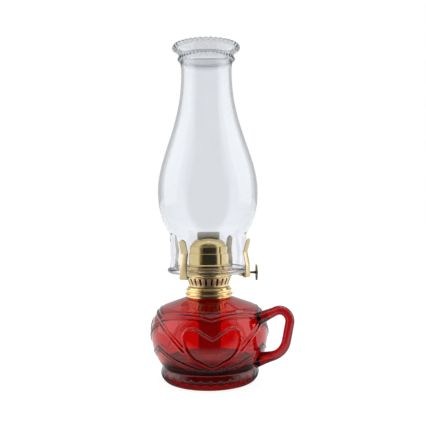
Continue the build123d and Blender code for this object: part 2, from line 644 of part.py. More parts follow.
def chimney_side(inset):
    """Edges of the chimney's wall from its foot to its lip, moved inwards."""
    foot_end = (CHIMNEY_FIT_R - inset, SEAT_Z)
    fit = (CHIMNEY_FIT_R - inset, SEAT_Z + CHIMNEY_FIT_H)
    belly = (CHIMNEY_BELLY_R - inset, SEAT_Z + CHIMNEY_BELLY_H)
    neck = (CHIMNEY_NECK_R - inset, SEAT_Z + CHIMNEY_NECK_H)
    lip = (CHIMNEY_LIP_R - inset, SEAT_Z + CHIMNEY_LIP_H)
    swelling = belly[0] - fit[0]
    rise = belly[1] - fit[1]
    fall = neck[1] - belly[1]
    flare = lip[1] - neck[1]
    edges = [
        Line(foot_end, fit),
        Bezier(fit, (fit[0] + 0.58 * swelling, fit[1] + 0.27 * rise), (belly[0], belly[1] - 0.49 * rise), belly),
        swell(belly, neck, 0.3 * fall, 0.46 * fall),
        Bezier(neck, (neck[0], neck[1] + 0.65 * flare), (lip[0] - 0.3 * (lip[0] - neck[0]), lip[1] - 0.12 * flare), lip),
    ]
    return foot_end, edges, lip


def bead_round(wall_r, bulge_r, low, high):
    """Rounded bead on the chimney's wall, rooted in the middle of the glass."""
    root = wall_r - 0.5 * CHIMNEY_WALL
    pull = wall_r + (bulge_r - wall_r) * 4 / 3
    return turned(
        Line((root, low), (wall_r, low)),
        Bezier((wall_r, low), (pull, low), (pull, high), (wall_r, high)),
        Line((wall_r, high), (root, high)),
        Line((root, high), (root, low)),
    )


def make_chimney():
    foot_out, outside, lip_out = chimney_side(0)
    foot_in, inside, lip_in = chimney_side(CHIMNEY_WALL)
    glass = turned(*outside, Line(lip_out, lip_in), *inside, Line(foot_in, foot_out))
    rim = bead_round(CHIMNEY_FIT_R, CHIMNEY_RIM_R, SEAT_Z, SEAT_Z + CHIMNEY_RIM_H)
    band_z = SEAT_Z + CHIMNEY_BAND_H
    band = bead_round(CHIMNEY_NECK_R, CHIMNEY_BAND_R, band_z - CHIMNEY_BAND_HALF, band_z + CHIMNEY_BAND_HALF)
    ring = PolarLocations(CHIMNEY_LIP_R - 0.3 * CHIMNEY_WALL, PEARLS)
    pearls = [Pos(0, 0, SEAT_Z + CHIMNEY_LIP_H) * place * Sphere(PEARL_R) for place in ring]
    return glass + rim + band + pearls


def build_nodes():
    """Every piece by name: the font's own, then those of the burner turned on the collar."""
    fixed = {
        "font": make_font(),
        "collar": make_collar(),
        "collar_plaster": make_collar_plaster(),
        "chimney": make_chimney(),
    }
    burner = {
        "burner_base": make_burner_base(),
        "air_basket": make_air_basket(),
        "gallery": make_gallery(),
        "diffuser": make_diffuser(),
        "deflector": make_deflector(),
        "wick_tube": make_wick_tube(),
        "vent_tube": make_vent_tube(),
        "bracket_outer": make_bracket(1),
        "bracket_inner": make_bracket(-1),
        "shaft_bush": make_shaft_bush(),
        "raiser_shaft": make_raiser_shaft(),
        "thumb_wheel": make_thumb_wheel(),
        "wick": make_wick(),
    }
    prong = make_prong()
    for i, angle in enumerate(ARM_ANGLES):
        burner[f"prong_{i + 1}"] = Rot(0, 0, angle) * prong
    for i, x in enumerate(SPUR_X):
        burner[f"spur_wheel_{i + 1}"] = make_spur_wheel(x)
    turn = Rot(0, 0, BURNER_TURN)
    return fixed | {name: turn * shape for name, shape in burner.items()}


os.makedirs("parts", exist_ok=True)
for node, shape in build_nodes().items():
    solid = shape.solids()[0]
    solid.label = node
    export_step(solid, f"parts/{node}.step")
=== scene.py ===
import json
import math

import bmesh
import bpy
import numpy as np
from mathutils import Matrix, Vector
from mathutils.geometry import interpolate_bezier


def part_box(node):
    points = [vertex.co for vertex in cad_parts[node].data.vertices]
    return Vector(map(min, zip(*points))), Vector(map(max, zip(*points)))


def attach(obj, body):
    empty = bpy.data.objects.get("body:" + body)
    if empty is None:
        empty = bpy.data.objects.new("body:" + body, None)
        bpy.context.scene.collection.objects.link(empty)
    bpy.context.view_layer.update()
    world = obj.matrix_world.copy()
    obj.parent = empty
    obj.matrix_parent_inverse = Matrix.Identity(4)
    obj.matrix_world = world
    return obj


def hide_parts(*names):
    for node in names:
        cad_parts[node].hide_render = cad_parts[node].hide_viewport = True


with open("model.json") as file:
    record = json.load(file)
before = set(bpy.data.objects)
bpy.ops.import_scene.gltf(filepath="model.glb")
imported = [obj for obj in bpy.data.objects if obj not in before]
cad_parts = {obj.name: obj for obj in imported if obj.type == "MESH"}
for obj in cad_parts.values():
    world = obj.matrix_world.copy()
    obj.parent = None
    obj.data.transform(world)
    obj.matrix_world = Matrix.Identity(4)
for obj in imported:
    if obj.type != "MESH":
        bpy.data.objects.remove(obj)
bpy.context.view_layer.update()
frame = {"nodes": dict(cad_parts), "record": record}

# Glass hand lamp for lamp oil. Sizes are millimetres: Z up the lamp's axis, +X towards the handle.
MM = 0.001


def low_z(node):
    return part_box(node)[0].z / MM


def high_z(node):
    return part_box(node)[1].z / MM


# Heights taken from the solids
NECK_TOP_Z = high_z("font")
COLLAR_TOP_Z = high_z("collar")
BASKET_Z = low_z("air_basket")
DRUM_Z = low_z("gallery")
DOME_Z = low_z("deflector")
SEAT_Z = low_z("chimney")
WICK_TOP_Z = high_z("wick")

# Camera: level, at the lamp's middle
VIEW_TURN = math.radians(27.0)
VIEW_AWAY = 545.0
VIEW_Z = 157.1
VIEW_ASIDE = 4.7
VIEW_ROLL = math.radians(0.7)
LENS = 48.15

# Ends of the room as the lamp mirrors them: name, side, half width, softness and rise in degrees
ROOM_ENDS = (("Dark end", 1, 54.0, 9.0, 14.0), ("Grey end", -1, 60.0, 10.0, 15.0))
ROOM_LEFT = {"Dark end": 0.03, "Grey end": 0.65}
MIDDLE_Z = 100.0
WORLD_LIGHT = 0.6

# Floor: its glow and tones, and the dim patch under the lamp, a little towards the camera
FLOOR_GLOW = 0.86
FLOOR_TONES = ((0.30, 0.30, 0.30), (0.28, 0.28, 0.28))
SHADOW_ASIDE = 15.0
SHADOW_R = (48.0, 76.0)
SHADOW_DEPTH = 0.88

# Font
FOOT_REST_R = 42.0
FOOT_RING_W = 5.0
FOOT_R = 46.6
FOOT_BULGE_Z = 7.6
FOOT_FULLNESS = 0.3
FOOT_LOBES = 32
FOOT_LOBE_R = 6.5
FOOT_LOBE_SOFT = 0.45
WAIST = (45.2, 14.0)
BELLY = (55.4, 45.1)
CROWN_R = 32.6
SHOULDER_Z = 78.1
SHOULDER_FALL = math.radians(19.7)
SHOULDER_ROUND = 14.0
NECK_FILLET = 1.6
NECK_R = 19.6
NECK_BORE = 16.4
GLASS_WALL = 4.2
FLOOR_Z = 18.0
FLOOR_WALL = 5.0
FLOOR_CORNER = 7.0
FONT_COLUMNS = 448

# Relief on the font: half width, lobe middle, top, notch, side curve and tip of each heart
HEART_COUNT = 3
INNER_HEART = (25.0, 17.0, 56.6, 47.8, 23.0, 21.8)
FRAME_NOTCH_Z = 61.5
FRAME_CREST = (24.0, 64.6)
FRAME_CORNER = (48.5, 59.0)
FRAME_LEG_END = (25.6, 36.0)
GARLAND_LOW_Z = 18.2
GARLAND_MID = (31.0, 27.6)
GARLAND_END_Z = 37.5

# Handle: centre line as distance from the lamp's axis and height
HANDLE_PATH = ((47.0, 57.9), (84.4, 76.1), (75.2, 30.7), (47.0, 21.6))
HANDLE_BENDS = (9.0, 20.0)
HANDLE_R = 4.2
HANDLE_ROOT_R = 7.25
HANDLE_ROOT_L = 17.2
HANDLE_STEP = 1.6

# Collar and burner
BURNER_TURN = math.radians(27.0)
SHEET = 0.6
COLLAR_R = 21.3
COLLAR_H = 5.0
SLEEVE_R = 15.65
SLEEVE_L = 8.5
BASE_R = 21.8
THREAD_R = 15.3
THREAD_L = 7.0
THREAD_PITCH = 2.3
THREAD_H = 0.15
BASKET_FOOT_R = 18.8
BASKET_TOP_R = 21.4
SLOT_COUNT = 24
DRUM_R = 21.6
ARM_ANGLES = (-32.0, 58.0, 148.0, 238.0)
ARM_TIP_R = 40.6
ARM_W = 8.0
ARM_T = 0.8
PRONG_T = 0.7
PRONG_FOOT_W = 8.0
PRONG_W = 7.2
PRONG_BEND_H = 9.0
PRONG_WAIST_H = 20.0
PRONG_TIP_H = 33.0
PRONG_BENDS = (1.4, 1.05, 8.4, 6.3)
DOME_R = 18.9
DOME_FLANGE_R = 20.8
DOME_SLOT = (23.4, 6.2)
DOME_FOOT_H = 2.3
DOME_STEPS = (9.4, 6.2, 8.6)
DOME_LEDGE = 0.5
TUBE_HOLE = (22.8, 4.4, 4.0)
KNOB_X = 45.2
KNOB_R = 7.7
KNOB_T = 1.5
KNOB_TEETH = 40
KNOB_TOOTH = 0.35
SHAFT_Y = 5.75
SHAFT_Z = SEAT_Z - 1.4

# Wick: its tail as shift and height
WICK_W = 21.0
WICK_T = 2.6
WICK_RIBS = 42
WICK_ROW = 1.2
WICK_BEND_Z = 46.0
WICK_TAIL = ((-3.0, 33.0), (-8.2, 25.0))
WICK_BENDS = (30.0, 9.0)

# Chimney, heights from its seat
CHIMNEY_WALL = 2.2
CHIMNEY_RIM_R = 39.3
CHIMNEY_RIM_H = 5.2
CHIMNEY_FIT = (36.3, 36.0)
CHIMNEY_BELLY = (47.4, 77.0)
CHIMNEY_NECK = (24.1, 190.0)
CHIMNEY_BAND = (26.6, 203.0, 4.2)
CHIMNEY_LIP = (29.8, 213.8)
LIP_PEARLS = (40, 2.3)
BAND_PEARLS = (48, 1.3)


# Drawing outlines

def arc(centre, radius, start, end, steps):
    """Points round a centre from one direction to another, in degrees, both included."""
    turns = [math.radians(start + (end - start) * i / steps) for i in range(steps + 1)]
    return [(centre[0] + radius * math.cos(a), centre[1] + radius * math.sin(a)) for a in turns]


def curve(start, leave, arrive, end, steps):
    """Points on a Bezier curve, both ends included."""
    points = interpolate_bezier(*[Vector((*p, 0)) for p in (start, leave, arrive, end)], steps + 1)
    return [(p.x, p.y) for p in points]


def rounded(corners, radii, steps):
    """Open path through corners, each inner corner rounded by its own radius."""
    corners = [Vector(p) for p in corners]
    path = [corners[0]]
    for before, corner, after, radius in zip(corners, corners[1:], corners[2:], radii):
        back = (before - corner).normalized()
        on = (after - corner).normalized()
        half = back.angle(on) / 2
        centre = corner + (back + on).normalized() * (radius / math.sin(half))
        first = corner + back * (radius / math.tan(half)) - centre
        last = corner + on * (radius / math.tan(half)) - centre
        for i in range(steps + 1):
            path.append(centre + first.lerp(last, i / steps).normalized() * radius)
    return path + [corners[-1]]


def divided(path, step):
    """Points along a path, its long runs divided into steps."""
    points = []
    for start, end in zip(path, path[1:]):
        parts = max(1, round((end - start).length / step))
        points += [start.lerp(end, i / parts) for i in range(parts)]
    return points + [path[-1]]


# Making pieces with the modelling tools

def begin(name, add, **size):
    """New piece from a primitive, left in edit mode with all of it selected."""
    bpy.ops.object.select_all(action="DESELECT")
    add(**size)
    piece = bpy.context.object
    piece.name = name
    bpy.ops.object.mode_set(mode="EDIT")
    return piece


def done():
    bpy.ops.object.mode_set(mode="OBJECT")


def pick(piece, faces=None, edges=None):
    """Selects the faces or edges that pass a test of their middle, and nothing else."""
    bpy.ops.mesh.select_all(action="DESELECT")
    bpy.ops.mesh.select_mode(type="FACE" if faces else "EDGE")
    mesh = bmesh.from_edit_mesh(piece.data)
    for face in mesh.faces:
        if faces and faces(face.calc_center_median() / MM):
            face.select_set(True)
    for edge in mesh.edges:
        if edges and edges((edge.verts[0].co + edge.verts[1].co) / (2 * MM)):
            edge.select_set(True)
    bmesh.update_edit_mesh(piece.data)


def draw_wire(name, points):
    """Wire through points, drawn vertex by vertex, left in edit mode."""
    piece = begin(name, bpy.ops.mesh.primitive_plane_add, size=MM)
    bpy.ops.mesh.select_mode(type="VERT")
    bpy.ops.mesh.merge(type="CENTER")
    here = Vector((0, 0, 0))
    for i, point in enumerate(points):
        step = Vector(point) * MM - here
        if i:
            bpy.ops.mesh.extrude_region_move(TRANSFORM_OT_translate={"value": step})
        else:
            bpy.ops.transform.translate(value=step)
        here += step
    bpy.ops.mesh.select_all(action="SELECT")
    return piece


def turned(name, outline, columns=96):
    """Piece of revolution: an outline of radius and height, spun round the lamp's axis."""
    piece = draw_wire(name, [(r, 0, z) for r, z in outline])
    bpy.ops.mesh.spin(steps=columns, angle=2 * math.pi, center=(0, 0, 0), axis=(0, 0, 1))
    bpy.ops.mesh.select_all(action="SELECT")
    bpy.ops.mesh.remove_doubles(threshold=1e-6)
    bpy.ops.mesh.normals_make_consistent(inside=False)
    done()
    return piece


def active(piece):
    bpy.ops.object.select_all(action="DESELECT")
    piece.select_set(True)
    bpy.context.view_layer.objects.active = piece


def modify(piece, kind, **settings):
    """Adds one modifier and applies it."""
    active(piece)
    modifier = piece.modifiers.new(kind.lower(), kind)
    for key, value in settings.items():
        setattr(modifier, key, value)
    bpy.ops.object.modifier_apply(modifier=modifier.name)


def cut(piece, tool, operation="DIFFERENCE"):
    """Takes a tool's shape out of a piece, or joins it on, and removes the tool."""
    modify(piece, "BOOLEAN", operation=operation, object=tool, solver="EXACT")
    bpy.data.objects.remove(tool)


def join(pieces):
    active(pieces[0])
    for piece in pieces[1:]:
        piece.select_set(True)
    bpy.ops.object.join()
    return pieces[0]


def turn_piece(piece, angle):
    """Turns a finished piece about the lamp's axis, in its mesh."""
    active(piece)
    piece.rotation_euler.z = angle
    bpy.ops.object.transform_apply(location=True, rotation=True, scale=True)


def copies_round(piece, angles):
    """The piece and copies of it, each with its own mesh, turned about the lamp's axis."""
    made = [piece]
    for _ in angles[1:]:
        twin = piece.copy()
        twin.data = piece.data.copy()
        bpy.context.scene.collection.objects.link(twin)
        made.append(twin)
    for twin, angle in zip(made, angles):
        turn_piece(twin, angle)
    return made


LINING_LEAN = 0.3


def place(piece, body, finish, nodes=(), crease=35, lining=None):
    """Gives a piece its shading, materials and body; a darker lining with painted shade goes on faces turned to
    the axis.
    """
    active(piece)
    bpy.ops.object.shade_smooth_by_angle(angle=math.radians(crease))
    piece.data.materials.clear()
    piece.data.materials.append(finish)
    if lining:
        piece.data.materials.append(lining)
    for face in piece.data.polygons:
        lean = face.normal.x * face.center.x + face.normal.y * face.center.y
        inwards = lean < -LINING_LEAN * face.center.xy.length
        face.material_index = 1 if lining and inwards else 0
    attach(piece, body)
    if nodes:
        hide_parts(*nodes)
    return piece


def points_of(piece):
    flat = np.empty(3 * len(piece.data.vertices))
    piece.data.vertices.foreach_get("co", flat)
    return flat.reshape(-1, 3) / MM


def normals_of(piece):
    flat = np.empty(3 * len(piece.data.vertices))
    piece.data.vertices.foreach_get("normal", flat)
    return flat.reshape(-1, 3)


def set_points(piece, points):
    piece.data.vertices.foreach_set("co", (points * MM).ravel())
    piece.data.update()


# Materials

def new_group(name, inputs, outputs):
    """Empty shader node group with named inputs, values or vectors, and value outputs."""
    group = bpy.data.node_groups.new(name, "ShaderNodeTree")
    for key, value in inputs.items():
        kind = "NodeSocketVector" if isinstance(value, tuple) else "NodeSocketFloat"
        socket = group.interface.new_socket(key, in_out="INPUT", socket_type=kind)
        socket.default_value = value
    for key in outputs:
        group.interface.new_socket(key, in_out="OUTPUT", socket_type="NodeSocketFloat")
    return group, group.nodes.new("NodeGroupInput"), group.nodes.new("NodeGroupOutput")


def put(tree, kind, links=None, values=None, **settings):
    """Node with its settings, plain values and links by socket name or number."""
    node = tree.nodes.new(kind)
    for key, value in settings.items():
        setattr(node, key, value)
    for key, value in (values or {}).items():
        node.inputs[key].default_value = value
    for key, source in (links or {}).items():
        tree.links.new(source, node.inputs[key])
    return node


def uneven_group():
    """Soft patches and fine specks over a surface."""
    scales = {"Patch scale": 40.0, "Speck scale": 900.0}
    group, given, result = new_group("uneven", scales, ("Patches", "Specks"))
    where = put(group, "ShaderNodeTexCoord").outputs["Object"]
    patches = put(group, "ShaderNodeTexNoise", {"Vector": where, "Scale": given.outputs["Patch scale"]},
                  {"Detail": 4.0, "Roughness": 0.6})
    specks = put(group, "ShaderNodeTexNoise", {"Vector": where, "Scale": given.outputs["Speck scale"]},
                 {"Detail": 3.0, "Roughness": 0.7})
    middle = {"From Min": 0.3, "From Max": 0.7}
    for name, noise in (("Patches", patches), ("Specks", specks)):
        spread = put(group, "ShaderNodeMapRange", {"Value": noise.outputs["Fac"]}, middle)
        group.links.new(spread.outputs["Result"], result.inputs[name])
    return group


def turning_group():
    """Fine rings that spinning leaves on sheet metal, round the lamp's axis."""
    group, given, result = new_group("turning_rings", {"Rings per metre": 2600.0}, ("Rings",))
    where = put(group, "ShaderNodeTexCoord").outputs["Object"]
    axes = put(group, "ShaderNodeSeparateXYZ", {"Vector": where})
    across = put(group, "ShaderNodeCombineXYZ", {"X": axes.outputs["X"], "Y": axes.outputs["Y"]})
    radius = put(group, "ShaderNodeVectorMath", {0: across.outputs["Vector"]}, operation="LENGTH")
    spot = put(group, "ShaderNodeCombineXYZ", {"X": radius.outputs["Value"], "Y": axes.outputs["Z"]})
    fed = {"Vector": spot.outputs["Vector"], "Scale": given.outputs["Rings per metre"]}
    rings = put(group, "ShaderNodeTexNoise", fed, {"Detail": 2.0})
    group.links.new(rings.outputs["Fac"], result.inputs["Rings"])
    return group


ZONE_EDGE = 4.0
FROST_EDGE = 0.6
FROST_ROUGH = 0.14
UNEVEN = uneven_group()
TURNING = turning_group()


def material(name, **sockets):
    """Material with its Principled shader's plain sockets set; returns it, its tree and the shader."""
    finish = bpy.data.materials.new(name)
    finish.use_nodes = True
    shader = finish.node_tree.nodes["Principled BSDF"]
    for key, value in sockets.items():
        shader.inputs[key.replace("_", " ")].default_value = value
    return finish, finish.node_tree, shader


def use(tree, group, **values):
    node = tree.nodes.new("ShaderNodeGroup")
    node.node_tree = group
    for key, value in values.items():
        node.inputs[key.replace("_", " ")].default_value = value
    return node


def mix(tree, factor, low, high):
    """Colour between two, by a mask."""
    node = put(tree, "ShaderNodeMix", {0: factor}, {6: (*low, 1), 7: (*high, 1)}, data_type="RGBA")
    return node.outputs[2]


def between(tree, factor, low, high):
    """Value between two, by a mask."""
    node = put(tree, "ShaderNodeMapRange", {"Value": factor}, {"To Min": low, "To Max": high})
    return node.outputs["Result"]


def times(tree, first, second):
    return put(tree, "ShaderNodeMath", {0: first, 1: second}, operation="MULTIPLY").outputs["Value"]


def bump(tree, shader, height, distance, strength=1.0):
    node = put(tree, "ShaderNodeBump", {"Height": height}, {"Strength": strength, "Distance": distance})
    tree.links.new(node.outputs["Normal"], shader.inputs["Normal"])


def metal(name, bright, dull, smooth, rough, rings):
    """Spun or drawn metal: patchy tone and polish, with turning rings in its surface."""
    finish, tree, shader = material(name, Metallic=1.0)
    uneven = use(tree, UNEVEN)
    turning = use(tree, TURNING)
    tree.links.new(mix(tree, uneven.outputs["Patches"], bright, dull), shader.inputs["Base Color"])
    tree.links.new(between(tree, uneven.outputs["Patches"], smooth, rough), shader.inputs["Roughness"])
    bump(tree, shader, turning.outputs["Rings"], rings)
    return finish


def glass(name, tint, deep, murk, density, ripple, frost_z, zone):
    """Rippled glass that deepens with thickness, frosted below a height and tinted in one zone."""
    axis, start, zone_tint, even = zone
    finish, tree, shader = material(name, Metallic=0.0, Transmission_Weight=1.0, IOR=1.5)
    uneven = use(tree, UNEVEN, Patch_scale=55.0)
    where = put(tree, "ShaderNodeTexCoord").outputs["Object"]
    axes = put(tree, "ShaderNodeSeparateXYZ", {"Vector": where}).outputs
    height = axes["Z"]
    edge = {"From Min": start * MM, "From Max": (start + ZONE_EDGE) * MM}
    in_zone = put(tree, "ShaderNodeMapRange", {"Value": axes[axis]}, edge).outputs["Result"]
    share = times(tree, in_zone, between(tree, uneven.outputs["Specks"], even, 1.0))
    body_tint = mix(tree, uneven.outputs["Patches"], tint, deep)
    tinted = put(tree, "ShaderNodeMix", {0: share, 6: body_tint}, {7: (*zone_tint, 1)}, data_type="RGBA")
    tree.links.new(tinted.outputs[2], shader.inputs["Base Color"])
    frosted = {"From Min": (frost_z - FROST_EDGE) * MM, "From Max": (frost_z + FROST_EDGE) * MM}
    frosted |= {"To Min": FROST_ROUGH, "To Max": 0.0}
    frost = put(tree, "ShaderNodeMapRange", {"Value": height}, frosted)
    polish = between(tree, uneven.outputs["Specks"], 0.0, 0.03)
    rough = put(tree, "ShaderNodeMath", {0: polish, 1: frost.outputs["Result"]}, operation="ADD")
    tree.links.new(rough.outputs["Value"], shader.inputs["Roughness"])
    bump(tree, shader, uneven.outputs["Patches"], ripple)
    body = put(tree, "ShaderNodeVolumeAbsorption", values={"Color": (*murk, 1), "Density": density})
    tree.links.new(body.outputs["Volume"], tree.nodes["Material Output"].inputs["Volume"])
    return finish


def wick_cotton():
    """Woven cotton tape: warp ribs along it, weft across, soft grey-buff yarn."""
    finish, tree, shader = material("wick_cotton", Sheen_Weight=0.3, Sheen_Roughness=0.5)
    where = put(tree, "ShaderNodeTexCoord").outputs["Object"]
    along = put(tree, "ShaderNodeMapping", {"Vector": where}, {"Rotation": (0, 0, -BURNER_TURN)})
    warp = put(tree, "ShaderNodeTexWave", {"Vector": along.outputs["Vector"]},
               {"Scale": 420.0, "Distortion": 1.5, "Detail": 1.0}, bands_direction="X")
    weft = put(tree, "ShaderNodeTexWave", {"Vector": along.outputs["Vector"]},
               {"Scale": 330.0, "Distortion": 2.5, "Detail": 1.0}, bands_direction="Z")
    weave = times(tree, warp.outputs["Fac"], weft.outputs["Fac"])
    uneven = use(tree, UNEVEN, Patch_scale=120.0)
    # Yarn lighter than cotton's own buff: painted light for what the chimney glass holds back from the wick
    yarn = mix(tree, times(tree, weave, uneven.outputs["Patches"]), (0.86, 0.78, 0.64), (0.98, 0.93, 0.82))
    tree.links.new(yarn, shader.inputs["Base Color"])
    tree.links.new(between(tree, uneven.outputs["Specks"], 0.8, 1.0), shader.inputs["Roughness"])
    bump(tree, shader, weave, 0.0004)
    return finish


def plaster_chalk():
    finish, tree, shader = material("plaster_chalk")
    uneven = use(tree, UNEVEN, Patch_scale=90.0, Speck_scale=600.0)
    chalk = mix(tree, uneven.outputs["Patches"], (0.82, 0.79, 0.72), (0.68, 0.65, 0.58))
    tree.links.new(chalk, shader.inputs["Base Color"])
    tree.links.new(between(tree, uneven.outputs["Specks"], 0.75, 0.95), shader.inputs["Roughness"])
    bump(tree, shader, uneven.outputs["Specks"], 0.0002)
    return finish


BRASS = metal("spun_brass", (0.91, 0.73, 0.38), (0.80, 0.59, 0.26), 0.13, 0.24, 0.00001)
# Dome brass, lighter than the rest: painted light for what the chimney glass takes from the dome
LIT_DOME_BRASS = metal("lit_dome_brass", (0.98, 0.81, 0.45), (0.89, 0.68, 0.32), 0.08, 0.17, 0.00001)
# Prong brass, darker than the rest: painted shade on the prongs
SHADED_PRONG_BRASS = metal("shaded_prong_brass", (0.62, 0.52, 0.31), (0.50, 0.40, 0.22), 0.18, 0.30, 0.00001)
SATIN_BRASS = metal("satin_brass", (0.88, 0.72, 0.43), (0.80, 0.62, 0.33), 0.36, 0.48, 0.00001)
WORN_BRASS = metal("worn_brass", (0.42, 0.33, 0.18), (0.26, 0.20, 0.11), 0.28, 0.45, 0.00001)
# Dark brass on faces turned to the lamp's axis and on the inner parts: painted shade inside the burner and font
SHADED_INNER_BRASS = metal("shaded_inner_brass", (0.34, 0.25, 0.12), (0.22, 0.16, 0.08), 0.35, 0.55, 0.00001)
STEEL = metal("dark_steel", (0.13, 0.09, 0.055), (0.07, 0.05, 0.035), 0.35, 0.55, 0.00002)
HANDLE_DEEP = ("X", BELLY[0] + 2, (0.52, 0.006, 0.012), 1.0)
LIP_GRAIN = ("Z", SEAT_Z + CHIMNEY_BAND[1] - CHIMNEY_BAND[2] - 2, (0.60, 0.61, 0.63), 0.3)
RUBY = glass("ruby_glass", (0.94, 0.010, 0.014), (0.90, 0.008, 0.012), (0.15, 0.0, 0.0), 65.0, 0.00003,
             -10.0, HANDLE_DEEP)
CLEAR = glass("clear_glass", (0.965, 0.972, 0.985), (0.95, 0.96, 0.975), (0.86, 0.875, 0.90), 210.0, 0.00002,
              SEAT_Z + CHIMNEY_RIM_H, LIP_GRAIN)
COTTON = wick_cotton()
CHALK = plaster_chalk()
FINISHES = {
    "ruby_glass": RUBY, "clear_glass": CLEAR, "brass": BRASS, "dark_steel": STEEL,
    "plaster": CHALK, "wick_cotton": COTTON,
}


# Font: bowl, foot, neck and handle in one piece of red glass

SIDE_R = ((BELLY[1] - WAIST[1]) ** 2 + (BELLY[0] - WAIST[0]) ** 2) / (2 * (BELLY[0] - WAIST[0]))
SIDE_CENTRE = (BELLY[0] - SIDE_R, BELLY[1])
CROWN_CENTRE = Vector((BELLY[0] - CROWN_R, BELLY[1]))
DOWNHILL = Vector((math.cos(SHOULDER_FALL), -math.sin(SHOULDER_FALL)))
UPHILL_NORMAL = Vector((math.sin(SHOULDER_FALL), math.cos(SHOULDER_FALL)))
BELOW_NECK = Vector((NECK_R, SHOULDER_Z)) - UPHILL_NORMAL * SHOULDER_ROUND - CROWN_CENTRE
ALONG_TOP = BELOW_NECK.dot(DOWNHILL)
LEAN_LENGTH = CROWN_R - SHOULDER_ROUND
TOP_REACH = math.sqrt(ALONG_TOP**2 - BELOW_NECK.length_squared + LEAN_LENGTH**2) - ALONG_TOP
ROUND_LEAN = BELOW_NECK + DOWNHILL * TOP_REACH
ROUND_CENTRE = CROWN_CENTRE + ROUND_LEAN
CROWN_END = math.degrees(math.atan2(ROUND_LEAN.y, ROUND_LEAN.x))
TOP_END = 90 - math.degrees(SHOULDER_FALL)


def bowl_side(grow, low_angle, rows):
    """Bowl outline from an angle below the belly up to the edge of its sloping top, moved outwards."""
    side, crown, shoulder = rows
    return (
        arc(SIDE_CENTRE, SIDE_R + grow, low_angle, 0, side)
        + arc(CROWN_CENTRE, CROWN_R + grow, 0, CROWN_END, crown)[1:]
        + arc(ROUND_CENTRE, SHOULDER_ROUND + grow, CROWN_END, TOP_END, shoulder)[1:]
    )


def font_outline():
    hollow_z = FLOOR_Z - FLOOR_WALL
    hollow_r = FOOT_REST_R - FOOT_RING_W
    foot = [(r, hollow_z) for r in (0, 10, 20, hollow_r - 0.3 * hollow_z)] + [(hollow_r, 0)]
    rest = (FOOT_REST_R, 0)
    bulge = (FOOT_R, FOOT_BULGE_Z)
    level_r = FOOT_REST_R + FOOT_FULLNESS * (FOOT_R - FOOT_REST_R)
    foot += curve(rest, (level_r, 0), (FOOT_R, 0.5 * FOOT_BULGE_Z), bulge, 10)
    foot += curve(bulge, (FOOT_R, 10.4), (WAIST[0], 11.6), WAIST, 6)[1:]
    waist_angle = math.degrees(math.atan2(WAIST[1] - SIDE_CENTRE[1], WAIST[0] - SIDE_CENTRE[0]))
    outside = bowl_side(0, waist_angle, (50, 48, 16))[1:]
    fall = math.tan(SHOULDER_FALL)
    top = [(r, SHOULDER_Z - (r - NECK_R) * fall) for r in (37, 32, 27, 23)]
    neck_foot = SHOULDER_Z + NECK_FILLET * (1 - math.sin(SHOULDER_FALL)) / math.cos(SHOULDER_FALL)
    neck = top + arc((NECK_R + NECK_FILLET, neck_foot), NECK_FILLET, 180 + TOP_END, 180, 6)
    neck += [(NECK_R, NECK_TOP_Z - 0.6), (NECK_R - 0.6, NECK_TOP_Z), (NECK_BORE + 0.6, NECK_TOP_Z)]
    ceiling = SHOULDER_Z + (NECK_R - NECK_BORE) * fall - GLASS_WALL / math.cos(SHOULDER_FALL)
    bore = [(NECK_BORE, NECK_TOP_Z - 0.6), (NECK_BORE, ceiling + 1.2), (NECK_BORE + 0.15, ceiling + 0.45)]
    bore += [(r, ceiling - (r - NECK_BORE) * fall) for r in (NECK_BORE + 1.0, 22, 30)]
    corner_z = FLOOR_Z + FLOOR_CORNER
    reach = SIDE_R - GLASS_WALL - FLOOR_CORNER
    corner_r = SIDE_CENTRE[0] + math.sqrt(reach**2 - (SIDE_CENTRE[1] - corner_z) ** 2)
    corner_angle = math.degrees(math.atan2(corner_z - SIDE_CENTRE[1], corner_r - SIDE_CENTRE[0]))
    inside = bowl_side(-GLASS_WALL, corner_angle, (12, 14, 6))[::-1]
    floor = arc((corner_r, corner_z), FLOOR_CORNER, corner_angle, -90, 8)[1:]
    return foot + outside + neck + bore + inside + floor + [(26, FLOOR_Z), (12, FLOOR_Z), (0, FLOOR_Z)]


def touch_point(point, centre, radius, side):
    """Where a line from a point outside a circle touches it, on the left (1) or right (-1)."""
    across = Vector(centre) - Vector(point)
    swing = side * math.asin(radius / across.length)
    reach = math.sqrt(across.length**2 - radius**2)
    heading = math.atan2(across.y, across.x) + swing
    return point[0] + reach * math.cos(heading), point[1] + reach * math.sin(heading)


def gap_to_line(x, z, start, end):
    dx, dz = end[0] - start[0], end[1] - start[1]
    share = np.clip(((x - start[0]) * dx + (z - start[1]) * dz) / (dx * dx + dz * dz), 0, 1)
    return np.hypot(x - start[0] - share * dx, z - start[1] - share * dz)


def gap_to_arc(x, z, centre, radius, low, high):
    """Distance from an arc between two directions in degrees, far away beside it."""
    angle = np.degrees(np.arctan2(z - centre[1], x - centre[0]))
    gap = np.abs(np.hypot(x - centre[0], z - centre[1]) - radius)
    return np.where((angle >= low) & (angle <= high), gap, 1e3)


def gap_to_bow(x, z, start, middle, end):
    """Distance from the arc through three points, far away beside it."""
    start, middle, end = Vector(start), Vector(middle), Vector(end)
    chord, lean = end - start, middle - start
    side = 2 * (chord.x * lean.y - chord.y * lean.x)
    centre = start + Vector((
        (lean.y * chord.length_squared - chord.y * lean.length_squared) / side,
        (chord.x * lean.length_squared - lean.x * chord.length_squared) / side,
    ))
    along = ((x - start.x) * chord.x + (z - start.y) * chord.y) / chord.length_squared
    gap = np.abs(np.hypot(x - centre.x, z - centre.y) - (start - centre).length)
    return np.where((along >= 0) & (along <= 1), gap, 1e3)


